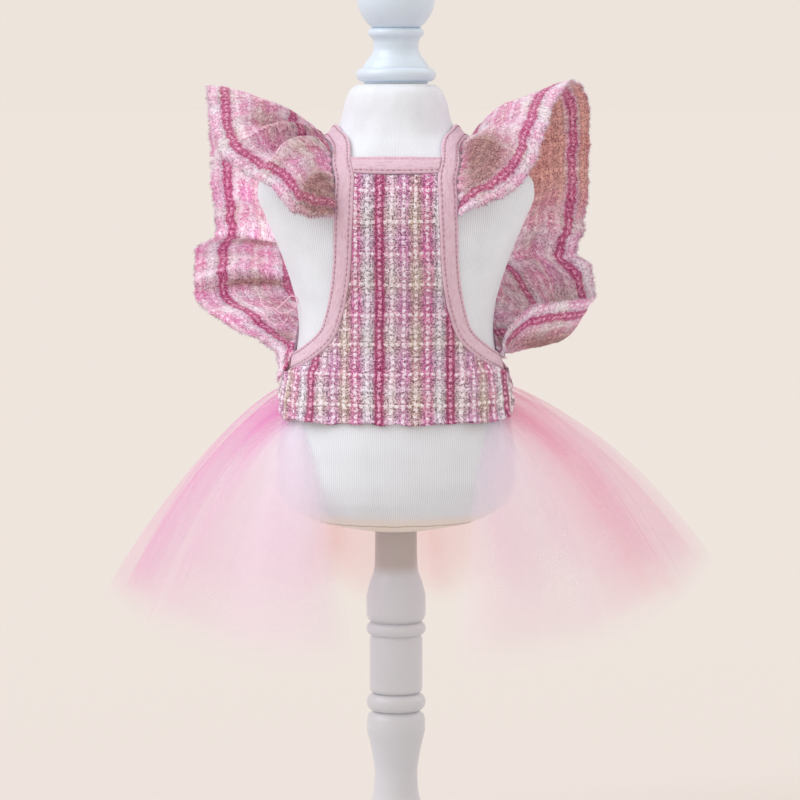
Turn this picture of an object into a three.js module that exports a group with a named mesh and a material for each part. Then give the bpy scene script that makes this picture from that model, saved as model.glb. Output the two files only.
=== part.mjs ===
// A pet dress on a limbless dress form. The dress is a tweed bodice with bound neck and armholes, a gathered
// frill round each armhole and a two-layer tulle skirt that is open at the front. The form stands on a post.
// Millimetres, +Z up, -Y towards the front (the chest side), +X to the viewer's right: right and left in the
// names are as the dress is seen from the front. The origin is the centre of the round base's underside.
// Heights of the dress, form and post are measured from a datum on the post, STAND.datum above the floor, and
// their groups are raised by it.
import * as THREE from "three";

// ---------------------------------------------------------------- driving sizes
const TWEED = 1.5; // thickness of the tweed panels
const FRILL = 1.6; // thickness of a frill, with its frayed edge
const TULLE = 1.0; // thickness given to one layer of tulle
const BINDING = { width: 9.4, thick: 2.3, corner: 0.8, steps: 42 }; // folded bias tape
const SEAM = 0.35; // gap between sewn pieces
const EASE = 0.6; // gap between the cloth and the form
const SHOULDER_LIFT = 0.7; // extra gap where the cloth crosses the corner of the shoulder
const HEM = { front: 223, side: 237, back: 240 }; // height of the bodice's lower edge
const SIDE_SEAM = 88; // degrees from the front centre
const UNDERARM = 0.13; // share of a panel's height where its side seam ends at the armhole
const PANEL_COLUMNS = 18;
const NECKLINE = { front: 356.4, back: 364.5, backEnd: 368.2 }; // height of the neck bindings' centre lines
// The skirt: its sewn-in edge, its front edges' turn, its cut length, how much shorter and further in the
// inner layer is, its flutes, the share of it inside the bodice, how far above the bodice's hem each layer
// leaves the form, and how its falling curve bulges (shares of its reach and drop).
const SKIRT = {
  root: 244,
  front: 50,
  length: 152,
  innerShort: 9,
  innerIn: 4.5,
  flutes: 13,
  fluteDepth: 6.5,
  fluteGrowth: 1.3,
  tucked: 0.12,
  leave: { outer: 2.5, inner: 4.3 },
  bulge: { reach: 0.52, drop: 0.2 },
};
const STAND = { baseRadius: 85, baseTop: 15, datum: 28, postTop: 159, formFoot: 159.3, formTop: 398.8 };
const BALL = { radius: 20.7, centre: 445 };

// The form: half width (x) and half depth (y) of its oval section at each height.
const FORM = [
  { z: STAND.formFoot, half: 14, deep: 13 },
  { z: 161.2, half: 26, deep: 23 },
  { z: 162.4, half: 31.8, deep: 28 },
  { z: 164, half: 40.3, deep: 35.5 },
  { z: 167.8, half: 48.8, deep: 42.5 },
  { z: 173, half: 56.2, deep: 48.5 },
  { z: 180, half: 61.2, deep: 52.4 },
  { z: 191, half: 63.3, deep: 54.2 },
  { z: 205, half: 63, deep: 54 },
  { z: 220, half: 61, deep: 52.3 },
  { z: 232, half: 58, deep: 50.2 },
  { z: 245, half: 54.9, deep: 48.2 },
  { z: 258, half: 52.7, deep: 46.7 },
  { z: 270, half: 51.4, deep: 46.2 },
  { z: 282, half: 52.4, deep: 47 },
  { z: 293, half: 55.1, deep: 48.8 },
  { z: 303, half: 58.3, deep: 50.3 },
  { z: 317, half: 63.7, deep: 51.6 },
  { z: 330, half: 69.2, deep: 50.8 },
  { z: 341, half: 73.1, deep: 48.2 },
  { z: 347, half: 72.6, deep: 46 },
  { z: 352, half: 69.4, deep: 43.8 },
  { z: 357, half: 62, deep: 41.2 },
  { z: 362, half: 51, deep: 38.2 },
  { z: 367, half: 41, deep: 35 },
  { z: 373, half: 32.6, deep: 31.2 },
  { z: 381, half: 28.9, deep: 28.4 },
  { z: 389, half: 27, deep: 26.6 },
  { z: 395.7, half: 24.4, deep: 24.1 },
  { z: STAND.formTop, half: 20.7, deep: 20.5 },
];

// Centre line of the binding round one armhole, on the form's surface: degrees from the front centre, height.
const ARMHOLE = [
  { turn: 90, z: 252 },
  { turn: 72, z: 254.5 },
  { turn: 58, z: 259 },
  { turn: 43.5, z: 268.5 },
  { turn: 35.9, z: 282 },
  { turn: 28.8, z: 301 },
  { turn: 23.4, z: 326 },
  { turn: 21.3, z: 341 },
  { turn: 22.4, z: 352 },
  { turn: 37, z: 364.5 },
  { turn: 60, z: 371 },
  { turn: 84, z: 373 },
  { turn: 101, z: 367.5 },
  { turn: 112, z: 353.5 },
  { turn: 117, z: 334 },
  { turn: 117, z: 308 },
  { turn: 113, z: 284 },
  { turn: 105, z: 263 },
];

// One frill each side. along: share of the way round the armhole (from the underarm, up the front, over the
// shoulder and down the back); x, y, z: the frill's free edge there; rise, push: how far its middle bulges up
// and towards the front.
const FRILL_RIGHT = [
  { along: 0.33, x: 33, y: -50, z: 333, rise: 0, push: 3 },
  { along: 0.365, x: 45, y: -54, z: 337, rise: 3, push: 7 },
  { along: 0.405, x: 57, y: -54, z: 342, rise: 7, push: 9 },
  { along: 0.45, x: 69, y: -49, z: 354, rise: 9, push: 8 },
  { along: 0.5, x: 77, y: -39, z: 373, rise: 10, push: 5 },
  { along: 0.545, x: 82, y: -26, z: 388, rise: 9, push: 2 },
  { along: 0.59, x: 94, y: -9, z: 397.5, rise: 7, push: -2 },
  { along: 0.64, x: 102, y: 10, z: 384, rise: 7, push: -5 },
  { along: 0.7, x: 103, y: 25, z: 352, rise: 6, push: -8 },
  { along: 0.76, x: 101, y: 31, z: 322, rise: 4, push: -11 },
  { along: 0.82, x: 98, y: 28, z: 305, rise: 2, push: -12 },
  { along: 0.865, x: 107, y: 14, z: 294, rise: -3, push: -8 },
  { along: 0.9, x: 99, y: -3, z: 287, rise: -9, push: -6 },
  { along: 0.935, x: 82, y: -7, z: 279, rise: -12, push: -3 },
  { along: 0.965, x: 64, y: -3, z: 266, rise: -6, push: -1 },
];
const FRILL_LEFT = [
  { along: 0.33, x: -32.5, y: -50, z: 331, rise: 2, push: 4 },
  { along: 0.36, x: -41, y: -56, z: 330.5, rise: 9, push: 9 },
  { along: 0.395, x: -53, y: -58, z: 333.5, rise: 18, push: 12 },
  { along: 0.43, x: -64, y: -52, z: 346, rise: 13, push: 6 },
  { along: 0.46, x: -78, y: -47, z: 353.5, rise: 6, push: 2 },
  { along: 0.5, x: -91, y: -40, z: 364, rise: 11, push: 5 },
  { along: 0.545, x: -97, y: -27, z: 381, rise: 12, push: 3 },
  { along: 0.59, x: -100, y: -10, z: 397, rise: 8, push: -2 },
  { along: 0.64, x: -100, y: 12, z: 384, rise: 6, push: -5 },
  { along: 0.7, x: -99, y: 25, z: 352, rise: 6, push: -8 },
  { along: 0.76, x: -97, y: 31, z: 324, rise: 2, push: -11 },
  { along: 0.81, x: -107, y: 27, z: 311, rise: 6, push: -13 },
  { along: 0.86, x: -108, y: 18, z: 291, rise: 10, push: -10 },
  { along: 0.91, x: -92, y: 6, z: 274, rise: 8, push: -4 },
  { along: 0.965, x: -67, y: 2, z: 262, rise: 3, push: -2 },
];

// The skirt: at each turn from the front centre, the direction it falls in and how far out its hem reaches on
// the right and on the left.
const FLARE = [
  { turn: 50, heading: 74, right: 16, left: 34 },
  { turn: 58, heading: 74, right: 34, left: 50 },
  { turn: 66, heading: 76, right: 58, left: 64 },
  { turn: 75, heading: 80, right: 82, left: 78 },
  { turn: 84, heading: 86, right: 100, left: 88 },
  { turn: 94, heading: 94, right: 108, left: 92 },
  { turn: 106, heading: 104, right: 104, left: 90 },
  { turn: 122, heading: 120, right: 92, left: 84 },
  { turn: 145, heading: 144, right: 76, left: 74 },
  { turn: 180, heading: 180, right: 66, left: 66 },
];

// ---------------------------------------------------------------- curves through the tables
const radians = THREE.MathUtils.degToRad;
const smooth = THREE.MathUtils.smoothstep;
const lerp = THREE.MathUtils.lerp;

/** Slopes of a smooth curve through the table's column that never overshoots its rows. */
function slopesOf(rows, key, column) {
  const steps = rows.slice(1).map((row, i) => (row[column] - rows[i][column]) / (row[key] - rows[i][key]));
  return rows.map((row, i) => {
    if (i === 0) return steps[0];
    if (i === rows.length - 1) return steps[i - 1];
    const [before, after] = [steps[i - 1], steps[i]];
    return before * after <= 0 ? 0 : (2 * before * after) / (before + after);
  });
}

/** A function of the key column that gives another column, smoothly. */
function curveOf(rows, key, column) {
  const slopes = slopesOf(rows, key, column);
  return (at) => {
    const last = rows.length - 2;
    const i = Math.min(last, Math.max(0, rows.findIndex((row) => row[key] > at) - 1));
    const k = at >= rows[last + 1][key] ? last : i;
    const span = rows[k + 1][key] - rows[k][key];
    const t = THREE.MathUtils.clamp((at - rows[k][key]) / span, 0, 1);
    const [t2, t3] = [t * t, t * t * t];
    return (
      (2 * t3 - 3 * t2 + 1) * rows[k][column] +
      (t3 - 2 * t2 + t) * span * slopes[k] +
      (3 * t2 - 2 * t3) * rows[k + 1][column] +
      (t3 - t2) * span * slopes[k + 1]
    );
  };
}

const halfWidth = curveOf(FORM, "z", "half");
const halfDepth = curveOf(FORM, "z", "deep");

/** Directions along the form's surface at a turn (degrees) and a height: per degree round it, per mm up. */
function surfaceSteps(turn, z) {
  const a = radians(turn);
  const [w, d] = [halfWidth(z), halfDepth(z)];
  const dw = halfWidth(z + 0.5) - halfWidth(z - 0.5);
  const dd = halfDepth(z + 0.5) - halfDepth(z - 0.5);
  const round = new THREE.Vector3(w * Math.cos(a), d * Math.sin(a), 0).multiplyScalar(radians(1));
  const up = new THREE.Vector3(dw * Math.sin(a), -dd * Math.cos(a), 1);
  return { round, up };
}

/** A point on the form's surface, moved out along its normal. */
function onForm(turn, z, out = 0) {
  const a = radians(turn);
  const { round, up } = surfaceSteps(turn, z);
  const normal = round.clone().cross(up).normalize();
  const surface = new THREE.Vector3(halfWidth(z) * Math.sin(a), -halfDepth(z) * Math.cos(a), z);
  return surface.addScaledVector(normal, out);
}

/** The same for cloth, which bridges the shoulder's round corner a little further out. */
function onCloth(turn, z, out) {
  const sideways = smooth(Math.abs(Math.sin(radians(turn))), 0.6, 0.9);
  const atCorner = smooth(z, 334, 343) * (1 - smooth(z, 350, 358));
  return onForm(turn, z, out + SHOULDER_LIFT * sideways * atCorner);
}

// ---------------------------------------------------------------- solids
/**
 * A closed solid swept through sections with the same number of points. A section lists its outer points in
 * order and then its inner points in the opposite order, so that its ends can be closed by a strip.
 */
function sweep(sections, loop = false) {
  const count = sections[0].length;
  const points = sections.flat();
  const faces = [];
  const rows = loop ? sections.length : sections.length - 1;
  for (let r = 0; r < rows; r++) {
    const here = r * count;
    const next = ((r + 1) % sections.length) * count;
    for (let k = 0; k < count; k++) {
      const [a, b, c, d] = [here + k, here + ((k + 1) % count), next + ((k + 1) % count), next + k];
      if (k < count / 2) faces.push([a, b, c], [a, c, d]);
      else faces.push([a, b, d], [b, c, d]);
    }
  }
  if (!loop) {
    const end = (sections.length - 1) * count;
    for (let k = 0; k < count / 2 - 1; k++) {
      const [a, b, c, d] = [k, k + 1, count - 2 - k, count - 1 - k];
      faces.push([a, c, b], [a, d, c]);
      faces.push([end + a, end + b, end + c], [end + a, end + c, end + d]);
    }
  }
  return outward(points, faces);
}

/** Geometry whose faces all point out, whichever way round its sections were listed. */
function outward(points, faces) {
  const volume = faces.reduce((sum, [a, b, c]) => sum + points[a].dot(points[b].clone().cross(points[c])), 0);
  const index = faces.flatMap(([a, b, c]) => (volume < 0 ? [a, c, b] : [a, b, c]));
  return new THREE.BufferGeometry().setFromPoints(points).setIndex(index);
}

/** A wall of even thickness whose middle surface is point(row, column), both from 0 to 1. */
function sheet(point, rows, columns, thickness) {
  const nudge = 1e-3;
  const section = (v) => {
    const line = columns.map((u) => {
      const along = point(Math.min(1, v + nudge), u).sub(point(Math.max(0, v - nudge), u));
      const across = point(v, Math.min(1, u + nudge)).sub(point(v, Math.max(0, u - nudge)));
      return { at: point(v, u), normal: along.cross(across).normalize() };
    });
    const side = (out) => line.map(({ at, normal }) => at.clone().addScaledVector(normal, out));
    return [...side(thickness / 2), ...side(-thickness / 2).reverse()];
  };
  return sweep(rows.map(section));
}

/** Evenly spaced values from 0 to 1. */
const evenly = (steps) => Array.from({ length: steps + 1 }, (_, i) => i / steps);

/** A turned solid from a profile of [radius, height] pairs that starts and ends on the axis. */
function turned(profile, segments) {
  const points = profile.map(([r, z]) => new THREE.Vector2(r, z));
  return new THREE.LatheGeometry(points, segments).rotateX(Math.PI / 2);
}

// ---------------------------------------------------------------- bindings
/** The closed centre line round an armhole, as (turn, height) points; a degree is about a millimetre. */
const armholeLine = new THREE.CatmullRomCurve3(
  ARMHOLE.map(({ turn, z }) => new THREE.Vector3(turn, z, 0)),
  true,
  "centripetal",
);

/** The section of a flat tape, as distances across it and out from the form: its face, then its underside. */
const TAPE = [
  { across: -BINDING.width / 2, out: EASE + BINDING.thick - BINDING.corner },
  { across: -BINDING.width / 2 + BINDING.corner, out: EASE + BINDING.thick },
  { across: BINDING.width / 2 - BINDING.corner, out: EASE + BINDING.thick },
  { across: BINDING.width / 2, out: EASE + BINDING.thick - BINDING.corner },
  { across: BINDING.width / 2, out: EASE },
  { across: BINDING.width / 6, out: EASE },
  { across: -BINDING.width / 6, out: EASE },
  { across: -BINDING.width / 2, out: EASE },
];

/** The (turn, height) beside the armhole's centre line: across is positive towards the panels. */
function besideArmhole(share, across) {
  const wrapped = ((share % 1) + 1) % 1;
  const at = armholeLine.getPointAt(wrapped);
  const along = armholeLine.getTangentAt(wrapped);
  const { round, up } = surfaceSteps(at.x, at.y);
  const [rr, ru, uu] = [round.dot(round), round.dot(up), up.dot(up)];
  const side = { turn: -(ru * along.x + uu * along.y), z: rr * along.x + ru * along.y };
  const length = Math.sqrt(rr * side.turn ** 2 + 2 * ru * side.turn * side.z + uu * side.z ** 2);
  return { turn: at.x + (across * side.turn) / length, z: at.y + (across * side.z) / length };
}

/** The (turn, height) of a panel's edge along the armhole binding. */
const panelEdge = (share) => besideArmhole(share, BINDING.width / 2 + SEAM);

/** The share of the way round the armhole, between two, where the panel's edge passes a turn or height. */
function edgeShare(column, value, low, high) {
  let [a, b] = [low, high];
  const rising = panelEdge(b)[column] > panelEdge(a)[column];
  for (let i = 0; i < 30; i++) {
    const middle = (a + b) / 2;
    if (panelEdge(middle)[column] < value === rising) a = middle;
    else b = middle;
  }
  return (a + b) / 2;
}

function armholeBinding() {
  const section = (share) =>
    TAPE.map(({ across, out }) => {
      const { turn, z } = besideArmhole(share, across);
      return onCloth(turn, z, out);
    });
  return sweep(evenly(BINDING.steps).slice(1).map(section), true);
}

/** A binding along a neck edge; its two ends are cut to the slant of the armhole bindings that it meets. */
function neckBinding({ centre, height, end, low, high }, steps) {
  const heightAt = (turn, across) => height(turn) + across / surfaceSteps(turn, height(turn)).up.length();
  const reach = TAPE.map(({ across }) => {
    const z = heightAt(end, across);
    return panelEdge(edgeShare("z", z, low, high)).turn - centre;
  });
  const section = (share) =>
    TAPE.map(({ across, out }, i) => {
      const turn = centre + (2 * share - 1) * reach[i];
      return onCloth(turn, heightAt(turn, across), out);
    });
  return sweep(evenly(steps).map(section));
}

/** The neck edges: middle turn, height at a turn, end turn, and where the armhole binding crosses them. */
const FRONT_NECK = { centre: 0, height: () => NECKLINE.front, end: 24, low: 0.36, high: 0.47 };
const BACK_NECK = {
  centre: 180,
  height: (turn) => lerp(NECKLINE.back, NECKLINE.backEnd, ((turn - 180) / 70) ** 2),
  end: 110,
  low: 0.6,
  high: 0.72,
};

// ---------------------------------------------------------------- tweed panels
/** Height of the bodice's lower edge at a turn from the front centre. */
function hemHeight(turn) {
  const side = lerp(HEM.front, HEM.side, smooth(turn, 46, SIDE_SEAM));
  return lerp(side, HEM.back, smooth(turn, SIDE_SEAM, 125));
}

/** How far the panels stand off the form: further out where the tulle is sewn in under them. */
function panelEase(turn, z) {
  const fromFront = Math.abs(turn > 180 ? 360 - turn : turn);
  const overEdge = smooth(fromFront, SKIRT.front - 18, SKIRT.front - 8);
  const belowRoot = 1 - smooth(z, SKIRT.root + 3, SKIRT.root + 11);
  return EASE + 2 * (TULLE + SEAM) * overEdge * belowRoot;
}

/** A panel from rows that each give a middle height and the (turn, height) of the row's end. */
function panel(centre, rows, columns) {
  const point = (row, share, out) => {
    const across = 2 * share - 1;
    const turn = centre + across * (row.end.turn - centre);
    const z = lerp(row.z, row.end.z, across * across);
    return onCloth(turn, z, panelEase(turn, z) + out);
  };
  const section = (row) => [
    ...columns.map((share) => point(row, share, TWEED)),
    ...columns.map((share) => point(row, share, 0)).reverse(),
  ];
  return sweep(rows.map(section));
}

/** A panel's rows: up its side seam from the hem, then up the armhole binding to the neck binding. */
function panelRows({ seamTurn, hem, from, to, neck }) {
  const start = panelEdge(from);
  const underarm = lerp(hem, neck, UNDERARM);
  const end = panelEdge(to);
  const seam = evenly(3).map((share) => ({
    z: lerp(hem, underarm, share),
    end: { turn: seamTurn, z: lerp(hemHeight(SIDE_SEAM), start.z, share) },
  }));
  // The rows meet the binding where its own sections are, so that the two edges run side by side.
  const direction = Math.sign(to - from);
  const shares = [];
  const first = direction > 0 ? Math.floor(from * BINDING.steps) : Math.ceil(from * BINDING.steps);
  for (let i = first + direction; ; i += direction) {
    if ((to - i / BINDING.steps) * direction * BINDING.steps < 0.3) break;
    shares.push(i / BINDING.steps);
  }
  const arm = [...shares, to].map((share) => {
    const edge = panelEdge(share);
    return { z: lerp(underarm, neck, (edge.z - start.z) / (end.z - start.z)), end: edge };
  });
  return [...seam, ...arm];
}

/** The lower edge of a neck binding, where the panel below it stops. */
function neckEdge({ height }, turn) {
  const z = height(turn);
  return z - (BINDING.width / 2 + 2 * SEAM) / surfaceSteps(turn, z).up.length();
}

function chestPanel() {
  const seamTurn = SIDE_SEAM - SEAM;
  const from = edgeShare("turn", seamTurn, 0, 0.1);
  const to = edgeShare("z", neckEdge(FRONT_NECK, FRONT_NECK.end), 0.3, 0.44);
  const neck = neckEdge(FRONT_NECK, 0);
  return panel(0, panelRows({ seamTurn, hem: HEM.front, from, to, neck }), evenly(PANEL_COLUMNS));
}

function backPanel() {
  const seamTurn = SIDE_SEAM + SEAM;
  const from = edgeShare("turn", seamTurn, 0, 0.1);
  const to = edgeShare("z", neckEdge(BACK_NECK, BACK_NECK.end), -0.4, -0.28);
  const neck = neckEdge(BACK_NECK, 180);
  return panel(180, panelRows({ seamTurn, hem: HEM.back, from, to, neck }), evenly(PANEL_COLUMNS));
}

// ---------------------------------------------------------------- frills
/** A gathered strip from the arm side of an armhole binding to the free edge that its table gives. */
function frill(rows, side) {
  const rootGap = FRILL / 2 + 2.6 * SEAM;
  const column = (name) => curveOf(rows, "along", name);
  const [x, y, z, rise, push] = ["x", "y", "z", "rise", "push"].map(column);
  const [first, last] = [rows[0].along, rows[rows.length - 1].along];
  const point = (share, out) => {
    const along = lerp(first, last, share);
    const { turn, z: height } = besideArmhole(along, -BINDING.width / 2 - rootGap);
    const root = onCloth(turn * side, height, EASE + BINDING.thick / 2);
    const free = new THREE.Vector3(x(along), y(along), z(along));
    const middle = root.clone().lerp(free, 0.5).add(new THREE.Vector3(0, -push(along), rise(along)));
    return new THREE.QuadraticBezierCurve3(root, middle, free).getPoint(out);
  };
  return sheet(point, evenly(36), [0, 0.15, 0.35, 0.6, 0.8, 1], FRILL);
}

// ---------------------------------------------------------------- tulle skirt
/** A point of the skirt: share runs from the right front edge round the back, down from root to hem. */
function skirtPoint(share, down, layer) {
  const turn = lerp(SKIRT.front, 360 - SKIRT.front, share);
  const side = turn > 180 ? -1 : 1;
  const from = turn > 180 ? 360 - turn : turn;
  const leave = hemHeight(from) - (layer.inner ? SKIRT.leave.inner : SKIRT.leave.outer);
  const out = EASE / 2 + TULLE / 2 + (layer.inner ? 0 : TULLE + SEAM);
  if (down <= SKIRT.tucked) return onForm(from * side, lerp(SKIRT.root, leave, down / SKIRT.tucked), out);

  const fall = (down - SKIRT.tucked) / (1 - SKIRT.tucked);
  const heading = radians(curveOf(FLARE, "turn", "heading")(from));
  const full = SKIRT.length - (SKIRT.root - leave);
  const length = full - (layer.inner ? SKIRT.innerShort : 0);
  const reach = (curveOf(FLARE, "turn", side > 0 ? "right" : "left")(from) * length) / full;
  const drop = Math.sqrt(length ** 2 - reach ** 2);
  const away = new THREE.Vector3(side * Math.sin(heading), -Math.cos(heading), 0);
  const step = (outward, downward) => away.clone().multiplyScalar(outward).setZ(-downward);
  const root = onForm(from * side, leave, out);
  const shoulder = root.clone().add(step(SKIRT.bulge.reach * reach, SKIRT.bulge.drop * drop));
  const hem = root.clone().add(step(reach, drop));
  const normal = step(drop, -reach).normalize();
  const wave = Math.sin(2 * Math.PI * SKIRT.flutes * share + 0.8 * Math.sin(9 * share));
  const inwards = layer.inner ? SKIRT.innerIn * fall : 0;
  const flute = SKIRT.fluteDepth * fall ** SKIRT.fluteGrowth * wave - inwards;
  const falling = new THREE.QuadraticBezierCurve3(root, shoulder, hem);
  return falling.getPoint(fall).addScaledVector(normal, flute);
}

function skirtLayer(layer) {
  const downs = [0, SKIRT.tucked, 0.2, 0.34, 0.52, 0.75, 1];
  return sheet((share, down) => skirtPoint(share, down, layer), evenly(56), downs, TULLE);
}

// ---------------------------------------------------------------- form and stand
function formTorso() {
  const sides = 32;
  const tallest = 10; // a ring is added half-way up where two sections are further apart
  const rings = FORM.flatMap(({ z }, i) => {
    const below = i ? FORM[i - 1].z : z;
    return z - below > tallest ? [(z + below) / 2, z] : [z];
  });
  const points = rings.flatMap((z) => Array.from({ length: sides }, (_, i) => onForm((360 * i) / sides, z)));
  const foot = points.length;
  points.push(new THREE.Vector3(0, 0, STAND.formFoot), new THREE.Vector3(0, 0, STAND.formTop));
  const faces = [];
  const top = (rings.length - 1) * sides;
  for (let i = 0; i < sides; i++) {
    const next = (i + 1) % sides;
    faces.push([foot, next, i], [foot + 1, top + i, top + next]);
    for (let r = 0; r < top; r += sides) {
      faces.push([r + i, r + next, r + sides + next], [r + i, r + sides + next, r + sides + i]);
    }
  }
  return outward(points, faces);
}

/** Points round a bead or ball of a turned profile, from one radius up to another. */
function bead(centre, radius, from, to, steps, middle = 0) {
  return evenly(steps).map((share) => {
    const angle = radians(lerp(from, to, share));
    return [middle + radius * Math.cos(angle), centre + radius * Math.sin(angle)];
  });
}

function formCap() {
  const foot = STAND.formTop + SEAM;
  const profile = [
    [0, foot],
    [17, foot],
    [17, 400.4],
    ...bead(404, 3.6, -90, 90, 4, 17.6),
    [17.4, 408.4],
    [15.6, 411.2],
    [13, 414.5],
    [11.9, 418],
    [12.1, 421.6],
    ...bead(426, 2.6, -70, 70, 3, 12.2),
    ...bead(BALL.centre, BALL.radius, -54, 80, 11),
    [0, BALL.centre + BALL.radius],
  ];
  return turned(profile, 24);
}

function standPost() {
  const foot = STAND.baseTop + SEAM - STAND.datum;
  const profile = [
    [0, foot],
    [19, foot],
    ...bead(foot + 3.4, 3.4, -80, 80, 4, 16.4),
    [14.6, foot + 8.5],
    [15.4, foot + 15],
    [14.4, 12],
    [12, 22],
    [11.4, 32],
    [12.6, 42],
    [15.5, 55],
    [15.5, 61.6],
    [15, 63.5],
    ...bead(70.5, 5, -75, 75, 4, 10.8),
    [14, 77.5],
    [14, 105],
    ...bead(110, 3.6, -75, 75, 4, 12.3),
    [14.8, 115],
    [15.8, 117.5],
    [15.8, 126],
    [14.2, 134],
    [11.4, 144],
    [11.1, STAND.postTop],
    [0, STAND.postTop],
  ];
  return turned(profile, 24);
}

function standBase() {
  const rim = STAND.baseRadius;
  const profile = [
    [0, 0],
    [rim - 1.5, 0],
    [rim, 1.5],
    [rim, 6.5],
    [rim - 2.5, 9.4],
    [rim - 7, 10.6],
    [60, 11.4],
    [36, 12.6],
    [26, STAND.baseTop],
    [0, STAND.baseTop],
  ];
  return turned(profile, 40);
}

// ---------------------------------------------------------------- materials and scene
const finish = (color, roughness) =>
  new THREE.MeshStandardMaterial({ color, roughness, metalness: 0, side: THREE.DoubleSide });
const tweed = finish(0xc9849c, 0.95);
const tape = finish(0xdcb2bf, 0.8);
const tulle = finish(0xf3bccd, 0.7);
const jersey = finish(0xf2f1ef, 0.9);
const paintedWood = finish(0xf6f6f6, 0.4);

function named(name, geometry, material) {
  const mesh = new THREE.Mesh(geometry, material);
  mesh.name = name;
  return mesh;
}

const dress = new THREE.Group();
dress.add(
  named("chest_panel", chestPanel(), tweed),
  named("back_panel", backPanel(), tweed),
  named("neck_binding_front", neckBinding(FRONT_NECK, 10), tape),
  named("neck_binding_back", neckBinding(BACK_NECK, 18), tape),
  named("armhole_binding_right", armholeBinding(), tape),
  named("armhole_binding_left", armholeBinding(), tape),
  named("frill_right", frill(FRILL_RIGHT, 1), tweed),
  named("frill_left", frill(FRILL_LEFT, -1), tweed),
  named("tulle_outer", skirtLayer({ inner: false }), tulle),
  named("tulle_inner", skirtLayer({ inner: true }), tulle),
);
dress.getObjectByName("armhole_binding_left").scale.x = -1;

const form = new THREE.Group();
form.add(
  named("form_torso", formTorso(), jersey),
  named("form_cap", formCap(), paintedWood),
  named("stand_post", standPost(), paintedWood),
);

const part = new THREE.Group();
part.add(dress, form, named("stand_base", standBase(), paintedWood));
dress.position.z = STAND.datum;
form.position.z = STAND.datum;
export default part;
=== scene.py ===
import math

import bmesh
import bpy
import numpy as np
from bpy.props import FloatProperty, FloatVectorProperty, IntProperty, PointerProperty
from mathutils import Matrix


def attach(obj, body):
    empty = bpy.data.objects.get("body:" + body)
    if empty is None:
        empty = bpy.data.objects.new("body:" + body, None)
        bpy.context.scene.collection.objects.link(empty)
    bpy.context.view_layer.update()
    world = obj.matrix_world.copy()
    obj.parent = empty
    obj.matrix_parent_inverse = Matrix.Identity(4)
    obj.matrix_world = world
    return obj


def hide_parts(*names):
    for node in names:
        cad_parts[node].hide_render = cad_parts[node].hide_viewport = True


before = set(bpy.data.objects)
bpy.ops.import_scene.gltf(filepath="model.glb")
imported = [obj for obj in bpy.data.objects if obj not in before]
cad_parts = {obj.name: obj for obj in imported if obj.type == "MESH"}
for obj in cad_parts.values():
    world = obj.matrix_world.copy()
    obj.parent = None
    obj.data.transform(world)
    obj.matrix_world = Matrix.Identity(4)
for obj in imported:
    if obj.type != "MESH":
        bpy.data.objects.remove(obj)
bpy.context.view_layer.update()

bl_info = {
    "name": "Pet dress on a dress form",
    "version": (1, 0, 0),
    "blender": (4, 5, 0),
    "location": "3D View > Sidebar > Pet dress",
    "description": "Dresses the solids of a small dog's tweed and tulle dress on its turned stand",
    "category": "Add Mesh",
}

BODY = "root"
MM = 0.001

# ---------------------------------------------------------------- sizes, in mm, as the solids have them
DATUM = 28.0  # height above the floor that the heights of the dress, form and post are measured from
TWEED = 1.15  # the panels' cloth without its slubs
FRILL = 1.2
TULLE = 1.0
BINDING_WIDTH = 9.4
BINDING_THICK = 2.2
TAPE_CROWN, STITCH_SINK = 0.16, 0.34  # how far the tape's face swells, and how far its stitches draw it in
STITCH_LINE = BINDING_WIDTH / 2 - 1.45  # from the tape's centre line
STITCH_PITCH, STITCH_SHARE = 2.7, 0.62  # a stitch with the gap after it, and the stitch's share of that
STITCH_DIP, STITCH_ARCH = 0.18, 0.26  # how far a stitch dips into the tape, and how far it arches back out
THREAD_RADIUS, LOOSE_RADIUS = 0.21, 0.36
TAPE_LIP = 0.27  # how far the tape's rounded edges close the seam beside it
SEAM = 0.35  # the gap between neighbouring pieces
EASE = 0.6  # how far the cloth lies off the form
SHOULDER_LIFT = 0.7  # how much further out it bridges the shoulder's corner
HEM_FRONT, HEM_BACK = 223.0, 242.5
SIDE_SEAM = 88.0  # degrees from the front centre
UNDERARM = 0.13  # where the row that ends at the underarm crosses a panel's middle, from hem to neck
NECKLINE_FRONT, NECKLINE_BACK, NECKLINE_BACK_END = 356.4, 364.5, 368.2
NECK_END_FRONT, NECK_END_BACK = 24, 110  # degrees from the front centre
SKIRT_ROOT, SKIRT_FRONT, SKIRT_LENGTH = 244.0, 50.0, 152.0
SKIRT_TUCKED = 0.12  # where the net comes out from under the bodice, from its top (0) to its hem (1)
NET_GRID = (420, 72)  # points round the skirt, and down it
INNER_SHORTER = 9.0
LEAVE_OUTER, LEAVE_INNER = 2.5, 4.3  # how far below the panels' hem each layer leaves the form
SHOULDER_OUT, SHOULDER_DOWN = 0.52, 0.2  # where the net turns down, as shares of its reach and its drop
FLUTES, PLEATS, SHEETS = 13, 47, 12  # waves of the hem, pleats at the waist and overlaps of the net
FLUTE_HEIGHT, INNER_INSET, SOFT_FOLDS, PLEAT_HEIGHT = 6.5, 4.5, 2.2, 0.7
FORM_FOOT, FORM_TOP = 159.3, 398.8
FORM_REACH = 60.0  # a middling radius of the form, for distances round its cover
FORM_SIDES = 160
FOOT_LIFT, FOOT_SEAM = 3.4, 165.2
POST_TOP = 159.0
BASE_RADIUS, BASE_TOP = 85.0, 15.0
BALL_RADIUS, BALL_CENTRE = 20.7, 445.0
SENSOR, LENS = 36, 171
CAMERA_ASIDE, FLOOR_RADIUS = 0.0021, 60  # in metres

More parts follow.
